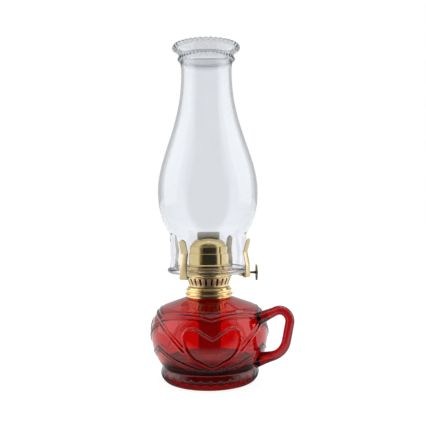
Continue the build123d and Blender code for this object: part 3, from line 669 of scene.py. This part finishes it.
def gap_to_heart(x, z, heart):
    """Distance of flat points from a heart's outline."""
    half_w, lobe_x, top_z, notch_z, side_r, tip_z = heart
    x = np.abs(x)
    lobe_r = half_w - lobe_x
    lobe = (lobe_x, top_z - lobe_r)
    side = (half_w - side_r, lobe[1])
    upper = touch_point((0, notch_z), lobe, lobe_r, 1)
    lower = touch_point((0, tip_z), side, side_r, -1)
    upper_angle = math.degrees(math.atan2(upper[1] - lobe[1], upper[0] - lobe[0]))
    lower_angle = math.degrees(math.atan2(lower[1] - side[1], lower[0] - side[0]))
    return np.minimum.reduce([
        gap_to_line(x, z, (0, notch_z), upper),
        gap_to_arc(x, z, lobe, lobe_r, 0, upper_angle),
        gap_to_arc(x, z, side, side_r, lower_angle, 0),
        gap_to_line(x, z, lower, (0, tip_z)),
    ])


def ridge(gap, half_w, height):
    """Rounded ridge over a line, from the distance to it."""
    return height * np.clip(1 - (gap / half_w) ** 2, 0, 1) ** 1.5


def raise_relief(font):
    """Hearts and rays raised on the bowl, and scallops pressed into the foot."""
    points = points_of(font)
    x, y, z = points.T
    r = np.hypot(x, y)
    angle = np.arctan2(y, x)
    pitch = 2 * math.pi / HEART_COUNT
    across = (angle % pitch) - pitch / 2
    flat_x = r * np.sin(across)
    height = ridge(gap_to_heart(flat_x, z, INNER_HEART), 1.5, 1.0)
    side_x = np.abs(flat_x)
    for shift, half_w, tall in ((0.0, 1.3, 1.0), (3.0, 1.0, 0.6)):
        over = gap_to_bow(side_x, z - shift, (0, FRAME_NOTCH_Z), FRAME_CREST, FRAME_CORNER)
        leg = gap_to_line(side_x + 0.7 * shift, z - 0.7 * shift, FRAME_CORNER, FRAME_LEG_END)
        garland_end = (FRAME_CORNER[0], GARLAND_END_Z)
        under = gap_to_bow(side_x, z + shift, (0, GARLAND_LOW_Z), GARLAND_MID, garland_end)
        height = np.maximum(height, ridge(np.minimum.reduce([over, leg, under]), half_w, tall))
    normals = normals_of(font)
    outward = (normals[:, 0] * x + normals[:, 1] * y) > 0
    on_bowl = outward & (z > WAIST[1]) & (z < SHOULDER_Z - 0.5) & (r > NECK_R + NECK_FILLET)
    points += normals * np.where(on_bowl, height, 0)[:, None]
    lobe = 2 * math.pi / FOOT_LOBES
    off = (angle + lobe / 2) % lobe - lobe / 2
    hub = FOOT_R - FOOT_LOBE_R
    scallop = hub * np.cos(off) + np.sqrt(FOOT_LOBE_R**2 - (hub * np.sin(off)) ** 2)
    scallop = FOOT_R - FOOT_LOBE_SOFT * (FOOT_R - scallop)
    foot = (z < WAIST[1]) & (r > FOOT_REST_R - 1)
    shrink = np.where(foot, np.minimum(1, scallop / np.maximum(r, 1e-6)), 1)
    points[:, 0] *= shrink
    points[:, 1] *= shrink
    set_points(font, points)


def make_handle():
    """Round rod along the handle's path, swelling at both roots."""
    path = rounded(HANDLE_PATH, HANDLE_BENDS, 14)
    dense = divided([Vector((p.x, 0, p.y)) for p in path], HANDLE_STEP)
    run = [0.0]
    for start, end in zip(dense, dense[1:]):
        run.append(run[-1] + (end - start).length)
    data = bpy.data.curves.new("handle_rod", "CURVE")
    data.dimensions = "3D"
    data.bevel_depth = MM
    data.bevel_resolution = 7
    data.use_fill_caps = True
    spline = data.splines.new("POLY")
    spline.points.add(len(dense) - 1)
    for point, spot, at in zip(spline.points, dense, run):
        end_gap = min(at, run[-1] - at)
        swell = max(0.0, 1 - end_gap / (1.35 * HANDLE_ROOT_L))
        point.co = (*(spot * MM), 1)
        point.radius = HANDLE_R + (HANDLE_ROOT_R - HANDLE_R) * swell**1.6
    rod = bpy.data.objects.new("handle_rod", data)
    bpy.context.scene.collection.objects.link(rod)
    active(rod)
    bpy.ops.object.convert(target="MESH")
    rod = bpy.context.object
    bpy.ops.object.mode_set(mode="EDIT")
    bpy.ops.mesh.select_all(action="SELECT")
    bpy.ops.mesh.remove_doubles(threshold=1e-6)
    bpy.ops.mesh.normals_make_consistent(inside=False)
    done()
    return rod


def make_font():
    font = turned("font_glass", font_outline(), FONT_COLUMNS)
    raise_relief(font)
    rod = make_handle()
    half_wall = 0.5 * GLASS_WALL
    room = [(0, FLOOR_Z)] + bowl_side(-half_wall, -32, (12, 12, 4)) + [(0, SHOULDER_Z - half_wall)]
    cut(rod, turned("bowl_room", room, 96))
    cut(font, rod, "UNION")
    return place(font, "lamp", RUBY, ["font"], crease=50)


make_font()


# Collar

def thread(piece, radius, phase):
    """Runs a shallow helical thread round the wall at a radius."""
    points = points_of(piece)
    x, y, z = points.T
    r = np.hypot(x, y)
    near = np.abs(r - radius) < 0.05
    wave = THREAD_H * np.cos(2 * math.pi * (z / THREAD_PITCH - np.arctan2(y, x) / (2 * math.pi)) + phase)
    share = np.where(near, 1 + wave / np.maximum(r, 1e-6), 1)
    points[:, 0] *= share
    points[:, 1] *= share
    set_points(piece, points)


def upright(radius, start, end, rows):
    return [(radius, start + (end - start) * i / rows) for i in range(rows + 1)]


def make_collar():
    low, top = COLLAR_TOP_Z - COLLAR_H, COLLAR_TOP_Z
    wall = COLLAR_R - SHEET
    outside = [(wall, low), (wall + 0.15, low), (COLLAR_R, low + 0.2), (COLLAR_R, low + 1.5)]
    roll_r = COLLAR_R + 2.1
    outside += curve((COLLAR_R, low + 1.7), (roll_r, low + 1.8), (roll_r, low + 3.4), (COLLAR_R, low + 3.5), 8)
    outside += [(COLLAR_R - 0.25, low + 3.9), (COLLAR_R - 0.2, top - 0.5)]
    outside += arc((COLLAR_R - 0.7, top - 0.5), 0.5, 0, 90, 4)
    inside = upright(SLEEVE_R, top - 0.4, top - SLEEVE_L, 28)
    sleeve_out = SLEEVE_R + SHEET
    back = [(sleeve_out, top - SLEEVE_L), (sleeve_out, top - SHEET), (wall, top - SHEET), (wall, low)]
    collar = turned("collar_ring", outside + [(SLEEVE_R + 0.4, top)] + inside + back, 128)
    thread(collar, SLEEVE_R, math.pi)
    place(collar, "lamp", BRASS, ["collar"])


make_collar()


# Burner

def make_burner_base():
    low, high = COLLAR_TOP_Z, BASKET_Z
    bore = THREAD_R - SHEET
    lip_r = BASKET_FOOT_R - 2 * SHEET
    shell = [(0, low), (bore, low)] + [(bore, low - THREAD_L), (THREAD_R - 0.2, low - THREAD_L)]
    shell += upright(THREAD_R, low - THREAD_L + 0.3, low - 0.2, 26)
    shell += [(THREAD_R, low), (BASE_R - 0.5, low)] + arc((BASE_R - 0.6, low + 0.6), 0.6, -90, 0, 4)[1:]
    shell += arc((BASE_R - 0.6, low + 1.9), 0.6, 0, 40, 3)
    shell += curve((BASE_R - 0.5, low + 2.4), (BASE_R - 1.2, low + 2.8),
                   (BASE_R - 1.0, high - 1.0), (BASE_R - 1.8, high - 0.3), 6)
    shell += [(BASKET_FOOT_R + 0.5, high), (lip_r, high), (lip_r, high - SHEET), (BASE_R - 2.6, high - SHEET)]
    shell += [(BASE_R - 1.6, high - 2.2), (BASE_R - SHEET, low + 2.0)]
    shell += [(BASE_R - SHEET, low + SHEET), (0, low + SHEET)]
    base = turned("burner_ring", shell, 128)
    thread(base, THREAD_R, 0.0)
    begin("tube_hole", bpy.ops.mesh.primitive_cube_add, size=1)
    done()
    hole = bpy.context.object
    hole.scale = Vector(TUBE_HOLE) * MM
    hole.location.z = low * MM
    hole.rotation_euler.z = BURNER_TURN
    cut(base, hole)
    place(base, "burner", BRASS, ["burner_base"], lining=SHADED_INNER_BRASS)


def make_air_basket():
    low, high = BASKET_Z, DRUM_Z
    columns = SLOT_COUNT * 8
    foot_in = BASKET_FOOT_R - 2 * SHEET
    wall_start = (BASKET_FOOT_R, low + 0.7)
    wall = curve(wall_start, (BASKET_FOOT_R, low + 4.2), (BASKET_TOP_R, high - 2.8), (BASKET_TOP_R, high), 14)
    basket = turned("slotted_basket", [(foot_in, low + 0.3), (BASKET_FOOT_R - 0.4, low + 0.3)] + wall, columns)
    bpy.ops.object.mode_set(mode="EDIT")
    pitch = 2 * math.pi / SLOT_COUNT

    def in_slot(spot):
        turn = (math.atan2(spot.y, spot.x) - BURNER_TURN) % pitch
        return abs(turn - pitch / 2) < 0.2 * pitch and low + 2.1 < spot.z < high - 0.8

    pick(basket, faces=in_slot)
    bpy.ops.mesh.delete(type="FACE")
    done()
    modify(basket, "SOLIDIFY", thickness=SHEET * MM, offset=-1.0)
    modify(basket, "BEVEL", width=0.12 * MM, segments=2, angle_limit=math.radians(50))
    place(basket, "burner", SATIN_BRASS, ["air_basket"], lining=SHADED_INNER_BRASS)


def make_gallery():
    low, high = DRUM_Z, DOME_Z
    seat = SEAT_Z - ARM_T / 2
    inner = DRUM_R - SHEET
    ring = [(inner, low), (DRUM_R - 0.1, low)] + arc((DRUM_R - 0.3, low + 0.5), 0.6, -60, 60, 5)
    ring += [(DRUM_R - 0.2, low + 1.4), (DRUM_R, low + 2.4)] + arc((DRUM_R, seat), 0.65, -80, 80, 8)
    ring += [(DRUM_R, seat + 1.2), (DRUM_R, high - 2.6)] + arc((DRUM_R - 0.1, high - 1.7), 0.55, -80, 80, 6)
    ring += [(DRUM_R - 0.15, high - 0.6), (DRUM_R - 0.3, high), (inner, high), (inner, low)]
    drum = turned("gallery_ring", ring, 128)
    begin("gallery_arm", bpy.ops.mesh.primitive_cube_add, size=1)
    arm = bpy.context.object
    reach = ARM_TIP_R - inner - 0.2
    bpy.ops.transform.resize(value=(reach * MM, ARM_W * MM, ARM_T * MM))
    bpy.ops.transform.translate(value=((inner + 0.2 + reach / 2) * MM, 0, seat * MM))
    bpy.ops.mesh.subdivide(number_cuts=5)
    pick(arm, faces=lambda spot: spot.z > SEAT_Z - 0.01 and abs(spot.y) < 1.6 and 25 < spot.x < 38)
    bpy.ops.mesh.inset(thickness=0.25 * MM)
    bpy.ops.transform.translate(value=(0, 0, -0.25 * MM))
    done()
    modify(arm, "BEVEL", width=0.18 * MM, segments=2, angle_limit=math.radians(50))
    arms = copies_round(arm, [math.radians(a) for a in ARM_ANGLES])
    gallery = join([drum] + arms)
    turn_piece(gallery, BURNER_TURN)
    place(gallery, "burner", BRASS, ["gallery"], lining=SHADED_INNER_BRASS)


def make_prongs():
    """Spring strips: a foot under the arm, a lower bend, a waist at the glass and a curled tip."""
    under = SEAT_Z - ARM_T - PRONG_T / 2
    lower_r = CHIMNEY_RIM_R + 2.9 + PRONG_T / 2
    waist_r = CHIMNEY_RIM_R + 0.5 + PRONG_T / 2
    corners = (
        (ARM_TIP_R - 5.5, under),
        (ARM_TIP_R - 2.2, under),
        (lower_r, under - 2.4),
        (lower_r, SEAT_Z + PRONG_BEND_H),
        (waist_r, SEAT_Z + PRONG_WAIST_H),
        (waist_r + 4.0, SEAT_Z + PRONG_TIP_H),
    )
    path = divided(rounded(corners, PRONG_BENDS, 6), 1.4)
    strip = draw_wire("prong", [(p.x, -0.5, p.y) for p in path])
    for _ in range(8):
        bpy.ops.mesh.extrude_region_move(TRANSFORM_OT_translate={"value": (0, MM / 8, 0)})
    bpy.ops.mesh.select_all(action="SELECT")
    bpy.ops.mesh.normals_make_consistent(inside=False)
    done()
    points = points_of(strip)
    side = 2 * points[:, 1]
    z = points[:, 2]
    tip_z = SEAT_Z + PRONG_TIP_H
    width = np.interp(z, (SEAT_Z, SEAT_Z + PRONG_BEND_H), (PRONG_FOOT_W, PRONG_W))
    cap = PRONG_W / 2
    into_tip = np.clip((z - (tip_z - cap)) / cap, 0, 0.995)
    width = width * np.sqrt(1 - into_tip**2)
    points[:, 1] = side * width / 2
    points[:, 0] -= 0.25 * side**2 * np.clip((z - SEAT_Z) / 6, 0, 1)
    set_points(strip, points)
    modify(strip, "SOLIDIFY", thickness=PRONG_T * MM, offset=0.0)
    modify(strip, "BEVEL", width=0.15 * MM, segments=2, angle_limit=math.radians(50))
    turns = [BURNER_TURN + math.radians(a) for a in ARM_ANGLES]
    for i, prong in enumerate(copies_round(strip, turns)):
        prong.name = f"prong_strip_{i + 1}"
        # The prongs take the darker brass, painted shade
        place(prong, "burner", SHADED_PRONG_BRASS, [f"prong_{i + 1}"])


def make_dome():
    """Stepped flame dome of sheet brass with its slot."""
    flange = [(DOME_R - SHEET, DOME_Z), (DOME_FLANGE_R - 0.7, DOME_Z)]
    flange += arc((DOME_FLANGE_R - 0.7, DOME_Z + 0.7), 0.7, -90, 90, 8)[1:]
    flange += curve((DOME_FLANGE_R - 0.9, DOME_Z + 1.4), (DOME_R + 0.4, DOME_Z + 1.5),
                    (DOME_R, DOME_Z + 1.8), (DOME_R, DOME_Z + 2.6), 6)
    first_z = DOME_Z + DOME_FOOT_H + DOME_STEPS[0]
    second_z = first_z + DOME_LEDGE + DOME_STEPS[1]
    top_z = second_z + DOME_LEDGE + DOME_STEPS[2]
    wall = [(DOME_R, first_z - 4.5), (DOME_R - 0.19, first_z - 0.25)]
    wall += arc((DOME_R - 0.6, first_z - 0.1), 0.42, 0, 90, 4) + [(DOME_R - 0.9, first_z + DOME_LEDGE)]
    wall += [(DOME_R - 0.95, second_z - 3), (DOME_R - 1.02, second_z - 0.25)]
    wall += arc((DOME_R - 1.45, second_z - 0.1), 0.42, 0, 90, 4) + [(DOME_R - 2.2, second_z + DOME_LEDGE)]
    start_r = DOME_R - 2.2
    cap = curve((start_r, second_z + DOME_LEDGE), (0.94 * start_r, second_z + 5.2),
                (0.55 * start_r, top_z), (0, top_z), 16)[1:]
    outside = flange + wall + cap
    inside = [(max(r - SHEET, 0), z - SHEET) for r, z in (wall + cap)[::-1]]
    dome = turned("flame_dome", outside + inside + [(DOME_R - SHEET, DOME_Z)], 128)
    slot_l, slot_w = DOME_SLOT
    begin("slot_tool", bpy.ops.mesh.primitive_cylinder_add, vertices=32, radius=slot_w / 2 * MM, depth=24 * MM)
    tool = bpy.context.object
    mesh = bmesh.from_edit_mesh(tool.data)
    for vertex in mesh.verts:
        vertex.co.x += math.copysign((slot_l - slot_w) / 2 * MM, vertex.co.x)
        vertex.co.z += top_z * MM
    bmesh.update_edit_mesh(tool.data)
    done()
    cut(dome, tool)
    turn_piece(dome, BURNER_TURN)
    # The dome takes the lighter brass, painted light
    place(dome, "burner", LIT_DOME_BRASS, ["deflector"], lining=SHADED_INNER_BRASS)


def make_thumb_wheel():
    """Knurled disc on its hub, turned to lie along the raiser's shaft."""
    disc = begin("thumb_wheel_disc", bpy.ops.mesh.primitive_cylinder_add, vertices=2 * KNOB_TEETH,
                 radius=KNOB_R * MM, depth=KNOB_T * MM)
    pick(disc, faces=lambda spot: abs(spot.z) > 0.4 * KNOB_T)
    bpy.ops.mesh.inset(thickness=1.0 * MM)
    bpy.ops.mesh.inset(thickness=0.5 * MM, depth=-0.3 * MM)
    bpy.ops.mesh.inset(thickness=2.4 * MM)
    bpy.ops.mesh.inset(thickness=0.6 * MM, depth=0.3 * MM)
    done()
    points = points_of(disc)
    r = np.hypot(points[:, 0], points[:, 1])
    angle = np.arctan2(points[:, 1], points[:, 0])
    tooth = np.round((angle / (math.pi / KNOB_TEETH))).astype(int) % 2
    rim = r > KNOB_R - 0.2
    scale = np.where(rim & (tooth == 1), 1 - KNOB_TOOTH / KNOB_R, 1)
    points[:, 0] *= scale
    points[:, 1] *= scale
    set_points(disc, points)
    modify(disc, "BEVEL", width=0.12 * MM, segments=2, angle_limit=math.radians(40))
    hub_outline = [(0, -2.2), (1.2, -2.2), (1.4, -2.0), (1.4, 0.2), (1.3, KNOB_T / 2)]
    hub_outline += [(1.3, KNOB_T + 0.3), (0.9, KNOB_T + 0.5), (0, KNOB_T + 0.55)]
    hub = turned("wheel_hub", [(r, z - KNOB_T / 2) for r, z in hub_outline], 32)
    wheel = join([disc, hub])
    wheel.location = Vector((KNOB_X + KNOB_T / 2, SHAFT_Y, SHAFT_Z)) * MM
    wheel.rotation_euler = (0, math.pi / 2, 0)
    active(wheel)
    bpy.ops.object.transform_apply(location=True, rotation=True, scale=True)
    turn_piece(wheel, BURNER_TURN)
    place(wheel, "raiser", WORN_BRASS, ["thumb_wheel"])


make_burner_base()
make_air_basket()
make_gallery()
make_prongs()
make_dome()
make_thumb_wheel()


# Wick: flat woven tape, ribbed along its length

def make_wick():
    path = divided(rounded(((0, WICK_TOP_Z), (0, WICK_BEND_Z), *WICK_TAIL), WICK_BENDS, 10), WICK_ROW)
    tape = draw_wire("wick_tape", [(-WICK_W / 2, p.x, p.y) for p in path])
    for _ in range(WICK_RIBS):
        bpy.ops.mesh.extrude_region_move(TRANSFORM_OT_translate={"value": (WICK_W / WICK_RIBS * MM, 0, 0)})
    bpy.ops.mesh.select_all(action="SELECT")
    bpy.ops.mesh.normals_make_consistent(inside=False)
    done()
    modify(tape, "SOLIDIFY", thickness=(WICK_T - 0.5) * MM, offset=0.0)
    points = points_of(tape)
    normals = normals_of(tape)
    column = np.round((points[:, 0] + WICK_W / 2) / (WICK_W / WICK_RIBS)).astype(int)
    row = np.round(points[:, 2] / WICK_ROW).astype(int)
    lift = np.where((column + row) % 2 == 0, 0.22, 0.0)
    flat = np.abs(normals[:, 1]) > 0.6
    points += normals * np.where(flat, lift, 0)[:, None]
    points[:, 2] += np.where(points[:, 2] > WICK_TOP_Z - 0.3, 0.25 * np.sin(2.1 * points[:, 0]) - 0.25, 0)
    set_points(tape, points)
    turn_piece(tape, BURNER_TURN)
    place(tape, "wick", COTTON, ["wick"], crease=60)


make_wick()


# Chimney

def chimney_side(inset, rows):
    """Wall from foot to lip, moved inwards, as points of radius and height."""
    foot = (CHIMNEY_FIT[0] - inset, SEAT_Z)
    fit = (CHIMNEY_FIT[0] - inset, SEAT_Z + CHIMNEY_FIT[1])
    belly = (CHIMNEY_BELLY[0] - inset, SEAT_Z + CHIMNEY_BELLY[1])
    neck = (CHIMNEY_NECK[0] - inset, SEAT_Z + CHIMNEY_NECK[1])
    lip = (CHIMNEY_LIP[0] - inset, SEAT_Z + CHIMNEY_LIP[1])
    swelling = belly[0] - fit[0]
    rise = belly[1] - fit[1]
    fall = neck[1] - belly[1]
    flare = lip[1] - neck[1]
    side = [(foot[0], SEAT_Z + CHIMNEY_FIT[1] * i / 12) for i in range(12)]
    side += curve(fit, (fit[0] + 0.58 * swelling, fit[1] + 0.27 * rise),
                  (belly[0], belly[1] - 0.49 * rise), belly, rows)
    side += curve(belly, (belly[0], belly[1] + 0.3 * fall),
                  (neck[0], neck[1] - 0.46 * fall), neck, 2 * rows)[1:]
    out = lip[0] - neck[0]
    side += curve(neck, (neck[0], neck[1] + 0.65 * flare),
                  (lip[0] - 0.3 * out, lip[1] - 0.12 * flare), lip, rows)[1:]
    return side


def chimney_swell(r, z):
    """Extra radius of the foot's rolled bead and of the band under the lip."""
    h = z - SEAT_Z
    bead = CHIMNEY_RIM_R - CHIMNEY_FIT[0]
    from_foot = (h - CHIMNEY_RIM_H / 2) / (CHIMNEY_RIM_H / 2)
    band_r, band_h, band_half = CHIMNEY_BAND
    from_band = (h - band_h) / band_half
    extra = bead * math.sqrt(max(0.0, 1 - from_foot**2))
    if abs(from_band) < 1:
        flat = CHIMNEY_NECK[0] + (band_r - CHIMNEY_NECK[0]) * (1 - from_band**2)
        extra = max(extra, flat - r)
    return r + extra


def pearl_row(ring_r, height, count, pearl_r):
    """Ring of glass pearls at a height over the chimney's seat."""
    begin("pearl", bpy.ops.mesh.primitive_uv_sphere_add, segments=20, ring_count=12, radius=pearl_r * MM,
          location=(ring_r * MM, 0, (SEAT_Z + height) * MM))
    done()
    pearl = bpy.context.object
    active(pearl)
    bpy.ops.object.transform_apply(location=True, rotation=True, scale=True)
    return join(copies_round(pearl, [2 * math.pi * i / count for i in range(count)]))


def make_chimney():
    outside = [p for p in chimney_side(0, 16) if p[1] > SEAT_Z + CHIMNEY_RIM_H]
    foot = [(chimney_swell(CHIMNEY_FIT[0], SEAT_Z + h), SEAT_Z + h) for h in
            [CHIMNEY_RIM_H / 2 * (1 - math.cos(math.pi * i / 14)) for i in range(15)]]
    outside = foot + [(chimney_swell(r, z), z) for r, z in outside]
    inside = chimney_side(CHIMNEY_WALL, 14)[::-1]
    edge = CHIMNEY_FIT[0] - 0.5 * CHIMNEY_WALL
    glass_wall = turned("chimney_glass", outside + inside + [(edge, SEAT_Z), outside[0]], 192)
    pearls = join([pearl_row(CHIMNEY_LIP[0] + 0.3, CHIMNEY_LIP[1], *LIP_PEARLS),
                   pearl_row(CHIMNEY_BAND[0] - 0.5, CHIMNEY_BAND[1], *BAND_PEARLS)])
    modify(glass_wall, "BOOLEAN", operation="UNION", object=pearls, solver="EXACT", use_self=True)
    bpy.data.objects.remove(pearls)
    place(glass_wall, "chimney", CLEAR, ["chimney"], crease=40)


make_chimney()

# The other solids keep their shape and take a finish
for node in frame["record"]["subparts"]:
    shown = frame["nodes"][node["node"]]
    shown.data.materials.clear()
    # Inner parts take the dark brass: painted shade
    inner = node["node"] in ("diffuser", "wick_tube", "vent_tube", "bracket_outer", "bracket_inner")
    shown.data.materials.append(SHADED_INNER_BRASS if inner else FINISHES[node["material_slot"]])


# Floor, light and camera

def room_group():
    """Where a heading meets the dark end of the room, on the camera's side, and the grey end behind."""
    group, given, result = new_group("room_ends", {"Heading": (0.0, 0.0, 1.0)}, ("Dark end", "Grey end"))
    for name, side, half, soft, rise in ROOM_ENDS:
        rise = math.radians(rise)
        level = side * math.cos(rise)
        middle = (level * math.sin(VIEW_TURN), -level * math.cos(VIEW_TURN), math.sin(rise))
        heading = given.outputs["Heading"]
        facing = put(group, "ShaderNodeVectorMath", {0: heading}, {1: middle}, operation="DOT_PRODUCT")
        far, near = [math.cos(math.radians(half + step)) for step in (soft, -soft)]
        end = put(group, "ShaderNodeMapRange", {"Value": facing.outputs["Value"]},
                  {"From Min": far, "From Max": near}, interpolation_type="SMOOTHSTEP")
        group.links.new(end.outputs["Result"], result.inputs[name])
    return group


def seen_white(tree):
    """1 for rays that look straight, off metal or through glass, 0 for light on matt surfaces; and the path."""
    path = put(tree, "ShaderNodeLightPath")
    seen = path.outputs["Is Camera Ray"]
    for kind in ("Is Glossy Ray", "Is Transmission Ray"):
        either = put(tree, "ShaderNodeMath", {0: seen, 1: path.outputs[kind]}, operation="MAXIMUM")
        seen = either.outputs["Value"]
    return seen, path


def floor_white(room):
    """White floor; mirrored in the lamp it is dark on the camera's side, and it is dim under the lamp."""
    finish = bpy.data.materials.new("floor_white")
    finish.use_nodes = True
    tree = finish.node_tree
    tree.nodes.clear()
    seen, path = seen_white(tree)
    where = put(tree, "ShaderNodeTexCoord").outputs["Object"]
    down = put(tree, "ShaderNodeVectorMath", {0: where}, {1: (0, 0, MIDDLE_Z * MM)}, operation="SUBTRACT")
    heading = put(tree, "ShaderNodeVectorMath", {0: down.outputs["Vector"]}, operation="NORMALIZE")
    ends = use(tree, room)
    tree.links.new(heading.outputs["Vector"], ends.inputs["Heading"])
    mirrored = times(tree, ends.outputs["Dark end"], path.outputs["Glossy Depth"])
    shadow = (SHADOW_ASIDE * MM * math.sin(VIEW_TURN), -SHADOW_ASIDE * MM * math.cos(VIEW_TURN), 0)
    away = put(tree, "ShaderNodeVectorMath", {0: where}, {1: shadow}, operation="DISTANCE")
    fading = {"From Min": SHADOW_R[0] * MM, "From Max": SHADOW_R[1] * MM, "To Min": SHADOW_DEPTH, "To Max": 0.0}
    under = put(tree, "ShaderNodeMapRange", {"Value": away.outputs["Value"]}, fading,
                interpolation_type="SMOOTHSTEP")
    through = between(tree, path.outputs["Is Camera Ray"], 1.0, 0.0)
    shade = between(tree, times(tree, under.outputs["Result"], through), 1.0, 0.0)
    left = times(tree, between(tree, mirrored, 1.0, ROOM_LEFT["Dark end"]), shade)
    white = times(tree, between(tree, seen, 0.0, FLOOR_GLOW), left)
    glow = put(tree, "ShaderNodeEmission", {"Strength": white}, {"Color": (1, 1, 1, 1)})
    grain = use(tree, UNEVEN)
    patchy = mix(tree, grain.outputs["Patches"], *FLOOR_TONES)
    tone = put(tree, "ShaderNodeMix", {0: left, 7: patchy}, {6: (0, 0, 0, 1)}, data_type="RGBA")
    matt = put(tree, "ShaderNodeBsdfDiffuse", {"Color": tone.outputs[2]})
    both = put(tree, "ShaderNodeAddShader", {0: glow.outputs["Emission"], 1: matt.outputs["BSDF"]})
    put(tree, "ShaderNodeOutputMaterial", {"Surface": both.outputs["Shader"]})
    return finish


def make_floor(room):
    floor = begin("floor", bpy.ops.mesh.primitive_plane_add, size=12.0)
    bpy.ops.mesh.subdivide(number_cuts=3)
    done()
    floor.data.materials.append(floor_white(room))


def make_light(name, turn, away, height, size, watts):
    """Soft light aimed at the lamp, not seen through glass; turn is from the camera's side, in degrees."""
    angle = -math.pi / 2 + VIEW_TURN + math.radians(turn)
    spot = Vector((away * math.cos(angle), away * math.sin(angle), height))
    lamp = bpy.data.lights.new(name, "AREA")
    lamp.shape = "RECTANGLE"
    lamp.size, lamp.size_y = size
    lamp.energy = watts
    holder = bpy.data.objects.new(name, lamp)
    holder.location = spot
    holder.rotation_euler = (Vector((0, 0, 0.15)) - spot).to_track_quat("-Z", "Y").to_euler()
    holder.visible_transmission = False
    bpy.context.scene.collection.objects.link(holder)


def make_world(room):
    """White surroundings, softer as a light; metal and glass mirror the room's dark and grey ends."""
    world = bpy.data.worlds.new("studio")
    bpy.context.scene.world = world
    world.use_nodes = True
    tree = world.node_tree
    seen, path = seen_white(tree)
    ends = use(tree, room)
    tree.links.new(put(tree, "ShaderNodeTexCoord").outputs["Generated"], ends.inputs["Heading"])
    strength = between(tree, seen, WORLD_LIGHT, 1.0)
    for name, left in ROOM_LEFT.items():
        mirrored = times(tree, ends.outputs[name], path.outputs["Glossy Depth"])
        strength = times(tree, strength, between(tree, mirrored, 1.0, left))
    sky = tree.nodes["Background"]
    sky.inputs["Color"].default_value = (1, 1, 1, 1)
    tree.links.new(strength, sky.inputs["Strength"])


def make_camera():
    camera = bpy.data.cameras.new("camera")
    camera.lens = LENS
    camera.sensor_width = 36.0
    holder = bpy.data.objects.new("camera", camera)
    away = Vector((math.sin(VIEW_TURN), -math.cos(VIEW_TURN), 0)) * VIEW_AWAY
    aside = Vector((math.cos(VIEW_TURN), math.sin(VIEW_TURN), 0)) * VIEW_ASIDE
    holder.location = (away + aside + Vector((0, 0, VIEW_Z))) * MM
    holder.rotation_euler = (math.pi / 2, VIEW_ROLL, VIEW_TURN)
    bpy.context.scene.collection.objects.link(holder)
    bpy.context.scene.camera = holder


ROOM = room_group()
make_floor(ROOM)
make_light("left_softbox", -95, 1.1, 0.45, (1.0, 1.1), 3.6)
make_light("right_softbox", 95, 1.1, 0.45, (1.0, 1.1), 3.6)
make_light("top_softbox", 165, 0.6, 1.3, (1.1, 0.9), 5.0)
make_world(ROOM)
make_camera()
bpy.context.scene.view_settings.view_transform = "Standard"
